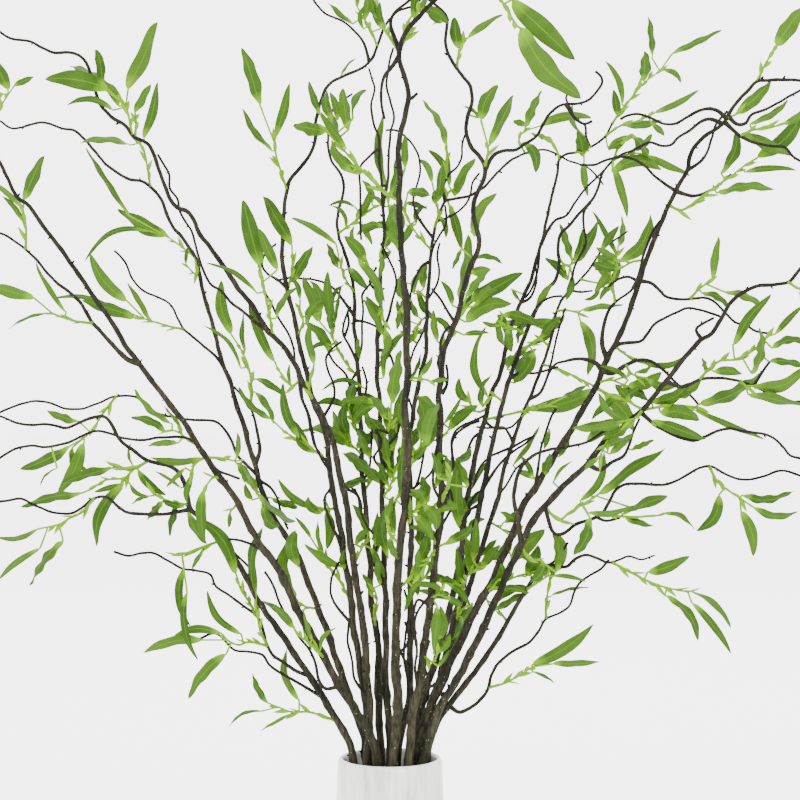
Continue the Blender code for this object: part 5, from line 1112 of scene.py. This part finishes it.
def reaches(points):
    run = [0.0]
    for start, end in zip(points, points[1:]):
        run.append(run[-1] + (end - start).length)
    return run


def meshFrom(name, shape):
    mesh = bpy.data.meshes.new(name)
    shape.to_mesh(mesh)
    shape.free()
    return mesh


def addObject(name, data):
    item = bpy.data.objects.new(name, data)
    bpy.context.scene.collection.objects.link(item)
    return item


# A ring is extruded along the line, each one on the flat across it, and both ends are closed.
def addTube(target, points, radii, sides, relief, ages):
    shape = bmesh.new()
    age = shape.verts.layers.float.new("age")
    side = Vector((1.0, 0.0, 0.0))
    turns = [math.tau * index / sides for index in range(sides)]
    cap = None
    for index, (spot, run) in enumerate(zip(points, reaches(points))):
        ahead = (points[min(index + 1, len(points) - 1)] - points[max(index - 1, 0)]).normalized()
        side = (side - ahead * side.dot(ahead)).normalized()
        up = ahead.cross(side)
        ring = [spot + (side * math.cos(turn) + up * math.sin(turn)) * relief(radii[index], run, turn)
                for turn in turns]
        if cap is None:
            cap = shape.faces.new([shape.verts.new(corner) for corner in ring])
        else:
            made = bmesh.ops.extrude_face_region(shape, geom=[cap])["geom"]
            if index > 1:
                bmesh.ops.delete(shape, geom=[cap], context="FACES_ONLY")
            cap = next(item for item in made if isinstance(item, bmesh.types.BMFace))
            for vert, corner in zip(cap.verts, ring):
                vert.co = corner
        for vert in cap.verts:
            vert[age] = ages[0] + (ages[1] - ages[0]) * index / (len(points) - 1)
    bmesh.ops.recalc_face_normals(shape, faces=shape.faces)
    mesh = meshFrom("tube", shape)
    target.from_mesh(mesh)
    bpy.data.meshes.remove(mesh)


def newPiece(name, shape, material, node):
    bmesh.ops.recalc_face_normals(shape, faces=shape.faces)
    mesh = meshFrom(name, shape)
    mesh.shade_smooth()
    mesh.materials.append(material)
    piece = addObject(name, mesh)
    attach(piece, "root")
    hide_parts(node)
    return piece


def socketGroup(name, inputs, outputs):
    group = bpy.data.node_groups.new(name, "ShaderNodeTree")
    for title, value in inputs.items():
        group.interface.new_socket(title, in_out="INPUT", socket_type="NodeSocketFloat").default_value = value
    for title in outputs:
        group.interface.new_socket(title, in_out="OUTPUT", socket_type="NodeSocketFloat")
    return group, group.nodes.new("NodeGroupInput"), group.nodes.new("NodeGroupOutput")


def newMaterial(name, roughness, gloss=0.5):
    material = bpy.data.materials.new(name)
    material.use_nodes = True
    shader = material.node_tree.nodes["Principled BSDF"]
    shader.inputs["Roughness"].default_value = roughness
    shader.inputs["Specular IOR Level"].default_value = gloss
    return material, material.node_tree.nodes, material.node_tree.links, shader


# Light that passes through thin green parts.
def addGlow(shader, look):
    shader.inputs["Subsurface Weight"].default_value = look["glow"]
    shader.inputs["Subsurface Radius"].default_value = look["glowRadius"]


def colorRamp(nodes, links, source, stops):
    ramp = nodes.new("ShaderNodeValToRGB")
    elements = ramp.color_ramp.elements
    while len(elements) < len(stops):
        elements.new(0.5)
    for element, (spot, color) in zip(elements, stops):
        element.position = spot
        element.color = color + (1.0,)
    links.new(source, ramp.inputs["Fac"])
    return ramp.outputs["Color"]


def calc(nodes, links, operation, first, second=None, third=None):
    node = nodes.new("ShaderNodeMath")
    node.operation = operation
    for index, value in enumerate((first, second, third)):
        if value is None:
            continue
        if isinstance(value, (int, float)):
            node.inputs[index].default_value = value
        else:
            links.new(value, node.inputs[index])
    return node.outputs[0]


def mixColor(nodes, links, factor, first, second, blend="MIX"):
    node = nodes.new("ShaderNodeMix")
    node.data_type = "RGBA"
    node.blend_type = blend
    for socket, value in ((node.inputs[0], factor), (node.inputs[6], first), (node.inputs[7], second)):
        if isinstance(value, (int, float)):
            socket.default_value = value
        elif isinstance(value, tuple):
            socket.default_value = value + (1.0,)
        else:
            links.new(value, socket)
    return node.outputs[2]


def noiseOf(nodes, links, vector, scale, detail, roughness=0.5):
    node = nodes.new("ShaderNodeTexNoise")
    node.inputs["Scale"].default_value = scale
    node.inputs["Detail"].default_value = detail
    node.inputs["Roughness"].default_value = roughness
    links.new(vector, node.inputs["Vector"])
    return node.outputs["Fac"]


def stretched(nodes, links, vector, scale):
    node = nodes.new("ShaderNodeMapping")
    node.inputs["Scale"].default_value = scale
    links.new(vector, node.inputs["Vector"])
    return node.outputs["Vector"]


def attribute(nodes, name):
    node = nodes.new("ShaderNodeAttribute")
    node.attribute_name = name
    return node.outputs["Fac"]


def bumpOf(nodes, links, height, strength, distance):
    node = nodes.new("ShaderNodeBump")
    node.inputs["Strength"].default_value = strength
    node.inputs["Distance"].default_value = distance
    links.new(height, node.inputs["Height"])
    return node.outputs["Normal"]


barkLook = {"old": (0.0086, 0.0084, 0.0050), "pale": (0.0350, 0.0335, 0.0215),
            "young": (0.0052, 0.0052, 0.0034), "pore": (0.17, 0.165, 0.13), "poreScale": 170.0,
            "poreSize": 0.10, "roughness": 0.8, "gloss": 0.07,
            "streakScale": (330.0, 330.0, 62.0), "streakRough": 0.65, "blotchScale": (38.0, 38.0, 16.0),
            "streakRange": (0.40, 0.66), "patches": ((0.30, (0.50, 0.53, 0.44)), (0.70, (1.42, 1.30, 1.16))),
            "bump": (0.9, 0.0010)}


def barkMaterial():
    material, nodes, links, shader = newMaterial("barkSurface", barkLook["roughness"], barkLook["gloss"])
    place3d = nodes.new("ShaderNodeTexCoord").outputs["Object"]
    streaks = noiseOf(nodes, links, stretched(nodes, links, place3d, barkLook["streakScale"]), 1.0, 5.0,
                      barkLook["streakRough"])
    blotches = noiseOf(nodes, links, stretched(nodes, links, place3d, barkLook["blotchScale"]), 1.0, 3.0)
    age = attribute(nodes, "age")
    begin, end = barkLook["streakRange"]
    worn = colorRamp(nodes, links, streaks, ((begin, (0.0, 0.0, 0.0)), (end, (1.0, 1.0, 1.0))))
    old = mixColor(nodes, links, worn, barkLook["old"], barkLook["pale"])
    aged = mixColor(nodes, links, age, old, barkLook["young"])
    patch = colorRamp(nodes, links, blotches, barkLook["patches"])
    patched = mixColor(nodes, links, 1.0, aged, patch, "MULTIPLY")
    cells = nodes.new("ShaderNodeTexVoronoi")
    cells.inputs["Scale"].default_value = barkLook["poreScale"]
    links.new(place3d, cells.inputs["Vector"])
    pores = calc(nodes, links, "LESS_THAN", cells.outputs["Distance"], barkLook["poreSize"])
    onOld = calc(nodes, links, "MULTIPLY", pores, calc(nodes, links, "SUBTRACT", 1.0, age))
    links.new(mixColor(nodes, links, onOld, patched, barkLook["pore"]), shader.inputs["Base Color"])
    links.new(bumpOf(nodes, links, streaks, *barkLook["bump"]), shader.inputs["Normal"])
    return material


sprigLook = {"root": (0.060, 0.138, 0.0004), "end": (0.092, 0.190, 0.0003), "roughness": 0.55, "gloss": 0.07,
             "fleckScale": 420.0, "tints": ((0.3, (0.84, 0.88, 0.80)), (0.7, (1.12, 1.10, 1.10))),
             "bump": (0.2, 0.0003), "glow": 0.12, "glowRadius": (0.0015, 0.0022, 0.0005)}


def sprigMaterial():
    material, nodes, links, shader = newMaterial("sprigSurface", sprigLook["roughness"], sprigLook["gloss"])
    place3d = nodes.new("ShaderNodeTexCoord").outputs["Object"]
    flecks = noiseOf(nodes, links, place3d, sprigLook["fleckScale"], 3.0)
    color = mixColor(nodes, links, attribute(nodes, "age"), sprigLook["root"], sprigLook["end"])
    tint = colorRamp(nodes, links, flecks, sprigLook["tints"])
    links.new(mixColor(nodes, links, 1.0, color, tint, "MULTIPLY"), shader.inputs["Base Color"])
    links.new(bumpOf(nodes, links, flecks, *sprigLook["bump"]), shader.inputs["Normal"])
    addGlow(shader, sprigLook)
    return material


leafLook = {"dark": (0.0105, 0.0335, 0.0018), "light": (0.0385, 0.0900, 0.0055),
            "rib": (0.0656, 0.1378, 0.0061), "edge": (0.0295, 0.059, 0.0066),
            "young": (0.1148, 0.2542, 0.0025), "veins": 17.0, "slant": 5.5, "roughness": 0.6, "gloss": 0.07,
            "cloudScale": 62.0, "grainScale": 900.0, "bump": (0.22, 0.0004), "glow": 0.10,
            "glowRadius": (0.0012, 0.0020, 0.0004), "ribWidth": 9.0, "veinWeight": 0.22, "edgeWeight": 0.25,
            "ribWeight": 0.75}


def leafPattern():
    inputs = {"Veins": leafLook["veins"], "Slant": leafLook["slant"]}
    group, source, target = socketGroup("leafPattern", inputs, ("Rib", "Vein", "Edge", "Foot"))
    nodes, links = group.nodes, group.links
    split = nodes.new("ShaderNodeSeparateXYZ")
    links.new(nodes.new("ShaderNodeUVMap").outputs["UV"], split.inputs[0])
    along, across = split.outputs[0], split.outputs[1]
    out = calc(nodes, links, "ABSOLUTE", calc(nodes, links, "MULTIPLY_ADD", across, 2.0, -1.0))
    rib = calc(nodes, links, "SUBTRACT", 1.0, calc(nodes, links, "MULTIPLY", out, leafLook["ribWidth"]))
    links.new(calc(nodes, links, "MAXIMUM", rib, 0.0), target.inputs["Rib"])
    rise = calc(nodes, links, "MULTIPLY", along, source.outputs["Veins"])
    lean = calc(nodes, links, "MULTIPLY", calc(nodes, links, "POWER", out, 0.8), source.outputs["Slant"])
    phase = calc(nodes, links, "MULTIPLY", calc(nodes, links, "SUBTRACT", rise, lean), math.tau)
    wave = calc(nodes, links, "MULTIPLY_ADD", calc(nodes, links, "SINE", phase), 0.5, 0.5)
    links.new(calc(nodes, links, "POWER", wave, 7.0), target.inputs["Vein"])
    links.new(calc(nodes, links, "POWER", out, 5.0), target.inputs["Edge"])
    foot = calc(nodes, links, "MAXIMUM", calc(nodes, links, "MULTIPLY_ADD", along, -4.5, 1.0), 0.0)
    links.new(calc(nodes, links, "MULTIPLY", foot, 0.85), target.inputs["Foot"])
    return group


def leafMaterial(pattern):
    material, nodes, links, shader = newMaterial("leafSurface", leafLook["roughness"], leafLook["gloss"])
    marks = nodes.new("ShaderNodeGroup")
    marks.node_tree = pattern
    place3d = nodes.new("ShaderNodeTexCoord").outputs["Object"]
    cloud = noiseOf(nodes, links, place3d, leafLook["cloudScale"], 3.0)
    grain = noiseOf(nodes, links, place3d, leafLook["grainScale"], 3.0)
    tone = calc(nodes, links, "MULTIPLY_ADD", cloud, 0.7, -0.20)
    tone = calc(nodes, links, "ADD", tone, calc(nodes, links, "MULTIPLY", attribute(nodes, "tone"), 0.62))
    clamped = nodes.new("ShaderNodeClamp")
    links.new(tone, clamped.inputs[0])
    body = mixColor(nodes, links, clamped.outputs[0], leafLook["dark"], leafLook["light"])
    for mark, weight, color in (("Vein", "veinWeight", "rib"), ("Edge", "edgeWeight", "edge"),
                                ("Rib", "ribWeight", "rib")):
        share = calc(nodes, links, "MULTIPLY", marks.outputs[mark], leafLook[weight])
        body = mixColor(nodes, links, share, body, leafLook[color])
    greened = mixColor(nodes, links, marks.outputs["Foot"], body, leafLook["young"])
    links.new(greened, shader.inputs["Base Color"])
    relief = calc(nodes, links, "MULTIPLY_ADD", marks.outputs["Vein"], -0.35, grain)
    relief = calc(nodes, links, "MULTIPLY_ADD", marks.outputs["Rib"], -0.8, relief)
    links.new(bumpOf(nodes, links, relief, *leafLook["bump"]), shader.inputs["Normal"])
    addGlow(shader, leafLook)
    return material


glazeLook = {"body": (0.405, 0.408, 0.384), "streak": (0.232, 0.232, 0.210), "pale": (0.490, 0.492, 0.468),
             "roughness": 0.38, "driftScale": (42.0, 42.0, 7.0), "fineScale": (190.0, 190.0, 22.0),
             "grainScale": 700.0, "lines": ((0.38, (0.86, 0.85, 0.83)), (0.60, (1.04, 1.04, 1.04))),
             "bump": (0.12, 0.0004), "coat": 0.15, "coatRoughness": 0.25}


def glazeMaterial():
    material, nodes, links, shader = newMaterial("glazeSurface", glazeLook["roughness"])
    place3d = nodes.new("ShaderNodeTexCoord").outputs["Object"]
    drift = noiseOf(nodes, links, stretched(nodes, links, place3d, glazeLook["driftScale"]), 1.0, 6.0, 0.62)
    fine = noiseOf(nodes, links, stretched(nodes, links, place3d, glazeLook["fineScale"]), 1.0, 4.0, 0.6)
    grain = noiseOf(nodes, links, place3d, glazeLook["grainScale"], 2.0)
    body = colorRamp(nodes, links, drift, ((0.34, glazeLook["streak"]), (0.48, glazeLook["body"]),
                                           (0.68, glazeLook["pale"])))
    lines = colorRamp(nodes, links, fine, glazeLook["lines"])
    links.new(mixColor(nodes, links, 1.0, body, lines, "MULTIPLY"), shader.inputs["Base Color"])
    links.new(bumpOf(nodes, links, grain, *glazeLook["bump"]), shader.inputs["Normal"])
    shader.inputs["Coat Weight"].default_value = glazeLook["coat"]
    shader.inputs["Coat Roughness"].default_value = glazeLook["coatRoughness"]
    return material


def vasePiece(material):
    height, rim, belly, mouth = (vaseSize[key] for key in ("height", "rim", "belly", "mouth"))
    outer = ((0.0, 0.0), (belly - 0.006, 0.0), (belly - 0.0032, 0.0009), (belly - 0.0015, 0.0035),
             (belly - 0.0003, 0.0075), (belly, 0.012), (belly, 0.060), (belly - 0.0008, 0.110),
             (rim + 0.0030, 0.165), (rim + 0.0011, 0.210), (rim, height - 0.0060),
             (rim - 0.0003, height - 0.0034), (rim - 0.0012, height - 0.0015),
             (rim - 0.0022, height - 0.0004), (rim - 0.0034, height))
    inner = ((mouth + 0.0018, height - 0.0003), (mouth + 0.0010, height - 0.0012),
             (mouth + 0.0003, height - 0.0028), (mouth, height - 0.0050), (mouth + 0.0030, 0.165),
             (belly - 0.0065, 0.060), (belly - 0.0070, 0.016), (belly - 0.0110, vaseSize["floor"]),
             (0.0, vaseSize["floor"]))
    shape = bmesh.new()
    verts = [shape.verts.new((radius, 0.0, level)) for radius, level in outer + inner]
    edges = [shape.edges.new(pair) for pair in zip(verts, verts[1:])]
    bmesh.ops.spin(shape, geom=verts + edges, cent=(0, 0, 0), axis=(0, 0, 1), angle=math.tau,
                   steps=vaseSize["steps"], use_merge=True)
    bmesh.ops.remove_doubles(shape, verts=shape.verts, dist=0.00001)
    piece = newPiece("glazedVase", shape, material, "vase")
    piece.data.set_sharp_from_angle(angle=math.radians(48.0))


barkShape = {"stemPitch": 0.0032, "twigPitch": 0.0026, "stemSides": 14, "twigSides": 9, "ridge": 0.05,
             "lump": 0.14, "knotEvery": 0.034, "knot": 0.22, "flare": 0.45, "flareLength": 0.010,
             "crook": 0.0022, "nubEvery": 0.042, "nub": 0.0028, "twigThicken": 1.2, "thinnest": 0.00138,
             "smoothBelow": 0.0035, "knotWidth": 0.0045, "twigPart": 0.7, "twigKnots": 0.6,
             "middleTwig": 0.0018, "straightStart": 0.05}


# Lumps, long ridges and knots in the bark, and a flare at the root of a twig.
def barkRelief(seed, knotEvery, flare):
    def relief(radius, run, turn):
        around = Vector((math.cos(turn) * 1.3, math.sin(turn) * 1.3, run * 22.0 + seed))
        rough = min(radius / barkShape["smoothBelow"], 1.0)
        lump = noise.noise(around) * barkShape["lump"] * rough
        ridge = math.sin(turn * 4.0 + noise.noise(Vector((run * 30.0, seed, 0.0))) * 6.0)
        index = round(run / knotEvery)
        offset = (run - index * knotEvery) / barkShape["knotWidth"]
        facing = 0.5 + 0.5 * math.cos(turn - index * 2.4 - seed)
        knot = math.exp(-offset * offset) * (0.35 + facing ** 3) * barkShape["knot"]
        root = flare * math.exp(-run / barkShape["flareLength"])
        return radius * (1.0 + lump + (ridge * barkShape["ridge"] + knot) * rough + root)
    return relief


def crooked(points, size, seed):
    crook = []
    for spot, run in zip(points, reaches(points)):
        ease = min(run / barkShape["straightStart"], 1.0) * size
        shift = noise.noise_vector(Vector((run * 26.0, seed, 3.0))) * ease
        shift += noise.noise_vector(Vector((run * 70.0, seed, 9.0))) * ease * 0.4
        crook.append(spot + shift)
    return crook


def addNubs(shape, points, radii, every, size, dice):
    age = shape.verts.layers.float["age"]
    run = 0.0
    due = every * dice.uniform(0.5, 1.0)
    for index in range(1, len(points) - 1):
        run += (points[index] - points[index - 1]).length
        if run < due or points[index].z < vaseSize["height"]:
            continue
        due = run + every * dice.uniform(0.5, 1.5)
        ahead = (points[index + 1] - points[index]).normalized()
        out = ahead.orthogonal()
        out.rotate(Matrix.Rotation(dice.uniform(0.0, math.tau), 3, ahead).to_quaternion())
        lean = (out + ahead * dice.uniform(0.3, 1.2)).normalized()
        length = size * dice.uniform(0.6, 1.4)
        turn = lean.to_track_quat("Z", "Y").to_matrix().to_4x4()
        middle = points[index] + out * radii[index] * 0.75 + lean * length * 0.35
        made = bmesh.ops.create_cone(shape, cap_ends=True, segments=6, radius1=length * 0.46,
                                     radius2=length * 0.24, depth=length,
                                     matrix=Matrix.Translation(middle) @ turn)["verts"]
        for vert in made:
            vert[age] = 0.8


def buildBark(name, plant, material, seed):
    shape = bmesh.new()
    shape.verts.layers.float.new("age")
    dice = random.Random(seed)
    fine, thick = smoothLine(*plant["stem"], barkShape["stemPitch"])
    stem = (crooked(fine, barkShape["crook"], seed), thick)
    addNubs(shape, *stem, barkShape["nubEvery"], barkShape["nub"], dice)
    addTube(shape, *stem, barkShape["stemSides"], barkRelief(seed, barkShape["knotEvery"], 0.0), (0.0, 0.85))
    lines = [stem]
    for index, (points, radii) in enumerate(plant["twigs"]):
        points = [seat(points[0], lines)] + points[1:]
        fine, thick = smoothLine(points, radii, barkShape["twigPitch"])
        thick = [max(radius * barkShape["twigThicken"], barkShape["thinnest"]) for radius in thick]
        part = barkShape["twigPart"]
        twig = (crooked(fine, barkShape["crook"] * part, seed + index + 0.5), thick)
        addNubs(shape, *twig, barkShape["nubEvery"] * part, barkShape["nub"] * part, dice)
        young = 0.35 if radii[0] > barkShape["middleTwig"] else 0.65
        relief = barkRelief(seed + index * 7.3, barkShape["knotEvery"] * barkShape["twigKnots"],
                            barkShape["flare"])
        addTube(shape, *twig, barkShape["twigSides"], relief, (young, 1.0))
        lines.append(twig)
    newPiece(name.replace("stem_", "bark"), shape, material, name)
    return lines


sprigShape = {"pitch": 0.0024, "sides": 7, "joint": 0.22, "jointEvery": 0.011, "thicken": 1.55,
              "bladeEvery": 0.0075, "blade": 0.0125, "bladeWidth": 0.0046, "jointWidth": 0.0016,
              "flare": 0.35, "flareLength": 0.004, "bladeParts": (0.25, 0.42, 0.5, 0.34, 0.06),
              "stalk": (0.00100, 0.00115, 0.00040), "stalkPitch": 0.002}


def sprigRelief(radius, run, turn):
    every = sprigShape["jointEvery"]
    offset = (run - round(run / every) * every) / sprigShape["jointWidth"]
    root = sprigShape["flare"] * math.exp(-run / sprigShape["flareLength"])
    return radius * (1.0 + sprigShape["joint"] * math.exp(-offset * offset) + root)


def addYoungBlades(shape, points, dice):
    run, due = 0.0, sprigShape["bladeEvery"]
    for index in range(1, len(points)):
        run += (points[index] - points[index - 1]).length
        if run < due:
            continue
        due = run + sprigShape["bladeEvery"] * dice.uniform(0.6, 1.5)
        ahead = (points[index] - points[index - 1]).normalized()
        out = ahead.orthogonal().normalized()
        out.rotate(Matrix.Rotation(dice.uniform(0.0, math.tau), 3, ahead).to_quaternion())
        lean = (ahead + out * dice.uniform(0.12, 0.42)).normalized()
        length = sprigShape["blade"] * dice.uniform(0.6, 1.5)
        steps = [points[index] + lean * length * share + out * length * 0.18 * share * share
                 for share in (0.0, 0.25, 0.5, 0.75, 1.0)]
        widths = [sprigShape["bladeWidth"] * part for part in sprigShape["bladeParts"]]
        addTube(shape, steps, widths, 6, lambda radius, run, turn: radius * (1.0 - 0.6 * abs(math.sin(turn))),
                (0.9, 1.0))


def buildSprigs(name, plant, lines, material, dice):
    shape = bmesh.new()
    shape.verts.layers.float.new("age")
    greens = []
    for points, radii in plant["sprigs"]:
        points = [seat(points[0], lines)] + points[1:]
        green = smoothLine(points, [radius * sprigShape["thicken"] for radius in radii], sprigShape["pitch"])
        addTube(shape, *green, sprigShape["sides"], sprigRelief, (0.0, 0.8))
        addYoungBlades(shape, green[0], dice)
        greens.append(green)
    for leaf in plant["leaves"]:
        root = seat(leaf["start"], greens + lines)
        run = leaf["tip"] - leaf["base"]
        inside = leaf["base"] + run * 0.06 + leaf["bow"] * 0.22
        stalk = smoothLine([root, leaf["base"], inside], sprigShape["stalk"], sprigShape["stalkPitch"])
        addTube(shape, *stalk, 6, lambda radius, run, turn: radius, (0.7, 1.0))
    newPiece(name.replace("stem_", "sprigs"), shape, material, name)


leafShape = {"along": 22, "across": 8, "fold": 0.20, "wave": 0.055, "twist": 0.55, "thickness": 0.00035,
             "widen": 0.97, "sickle": 0.10}


def leafWidth(share):
    return math.sin(math.pi * min(share, 1.0) ** 0.82) ** 0.66


def addLeaf(shape, leaf, dice):
    made = bmesh.ops.create_grid(shape, x_segments=leafShape["along"], y_segments=leafShape["across"],
                                 size=0.5, calc_uvs=True)["verts"]
    tone = shape.verts.layers.float["tone"]
    shade = dice.random()
    run = leaf["tip"] - leaf["base"]
    half = leaf["width"] * leafShape["widen"] / 2.0
    twist = dice.uniform(-1.0, 1.0) * leafShape["twist"]
    phase = dice.uniform(0.0, math.tau)
    waves = dice.uniform(1.5, 3.2)
    droop = dice.uniform(-0.05, 0.05) * run.length
    sickle = dice.uniform(-1.0, 1.0) * leafShape["sickle"] * run.length
    for vert in made:
        share, v = vert.co.x + 0.5, vert.co.y * 2.0
        ahead = (run + leaf["bow"] * (4.0 - 8.0 * share)).normalized()
        side = (leaf["side"] - ahead * leaf["side"].dot(ahead)).normalized()
        side.rotate(Matrix.Rotation(twist * (share - 0.4), 3, ahead).to_quaternion())
        face = ahead.cross(side)
        width = half * leafWidth(share)
        lift = abs(v) * leafShape["fold"] * width
        ripple = math.sin(share * waves * math.tau + phase + (1.6 if v > 0 else 0.0))
        lift += ripple * abs(v) ** 1.5 * leafShape["wave"] * leaf["width"] * 2.0
        lift += droop * math.sin(math.pi * share)
        center = leaf["base"] + run * share + leaf["bow"] * (4.0 * share * (1.0 - share))
        bend = sickle * (4.0 * share * (1.0 - share)) ** 1.5
        vert.co = center + side * (v * width + bend) + face * lift
        vert[tone] = shade


def buildLeaves(name, plant, material, dice):
    shape = bmesh.new()
    shape.loops.layers.uv.new("blade")
    shape.verts.layers.float.new("tone")
    for leaf in plant["leaves"]:
        addLeaf(shape, leaf, dice)
    bmesh.ops.remove_doubles(shape, verts=shape.verts, dist=0.000001)
    piece = newPiece(name.replace("stem_", "leaves"), shape, material, name)
    skin = piece.modifiers.new("thickness", "SOLIDIFY")
    skin.thickness = leafShape["thickness"]
    skin.offset = 0.0


floorPlan = {"half": 30.0, "below": 0.0005, "color": (0.96, 0.96, 0.96), "roughness": 0.9}


def buildFloor():
    shape = bmesh.new()
    bmesh.ops.create_grid(shape, x_segments=1, y_segments=1, size=floorPlan["half"])
    mesh = meshFrom("floor", shape)
    material, _, _, shader = newMaterial("paleFloor", floorPlan["roughness"])
    shader.inputs["Base Color"].default_value = floorPlan["color"] + (1.0,)
    mesh.materials.append(material)
    floor = addObject("floor", mesh)
    floor.location.z = -floorPlan["below"]


# Each light: its name, its place, the length of its side and its power. All look at the same spot.
lightPlan = {"world": 5.0, "lookAt": (0.0, 0.0, 0.6),
             "lights": (("keyLight", (-1.6, -2.6, 2.6), 2.4, 110.0),
                        ("fillLight", (2.4, -2.2, 1.7), 2.4, 35.0),
                        ("backLight", (0.4, 2.6, 2.6), 2.6, 50.0))}


def buildLights():
    world = bpy.data.worlds.new("studio")
    world.use_nodes = True
    background = world.node_tree.nodes["Background"]
    background.inputs["Color"].default_value = (1.0, 1.0, 1.0, 1.0)
    background.inputs["Strength"].default_value = lightPlan["world"]
    bpy.context.scene.world = world
    for name, spot, size, power in lightPlan["lights"]:
        data = bpy.data.lights.new(name, "AREA")
        data.size = size
        data.energy = power
        light = addObject(name, data)
        light.location = spot
        ahead = Vector(lightPlan["lookAt"]) - light.location
        light.rotation_euler = ahead.to_track_quat("-Z", "Y").to_euler()


cameraPlan = {"sensor": 36.0, "width": 800.0}  # millimetres, and steps of the drawing across the picture


def buildCamera():
    data = bpy.data.cameras.new("camera")
    data.sensor_width = cameraPlan["sensor"]
    data.lens = cameraPlan["sensor"] * drawing["eyeDistance"] / drawing["step"] / cameraPlan["width"]
    camera = addObject("camera", data)
    eyeHeight = vaseSize["height"] + (drawing["rimY"] - drawing["eyeY"]) * drawing["step"]
    eyeRight = (drawing["eyeX"] - drawing["axisX"]) * drawing["step"]
    camera.location = (eyeRight, -drawing["eyeDistance"], eyeHeight)
    camera.rotation_euler = (math.pi / 2.0, 0.0, 0.0)
    bpy.context.scene.camera = camera


buildCamera()
buildLights()
buildFloor()
vasePiece(glazeMaterial())
print("vase built")
plants = growAll()
print("growth laid out:", sum(len(plant["leaves"]) for plant in plants.values()), "leaves")
bark, sprig, blade = barkMaterial(), sprigMaterial(), leafMaterial(leafPattern())
leafDice = random.Random(growth["seed"] + 1)
bladeDice = random.Random(growth["seed"] + 2)
for number, (name, plant) in enumerate(plants.items()):
    lines = buildBark(name, plant, bark, number * 3.7)
    buildSprigs(name, plant, lines, sprig, bladeDice)
    buildLeaves(name, plant, blade, leafDice)
print("stems built:", len(plants))
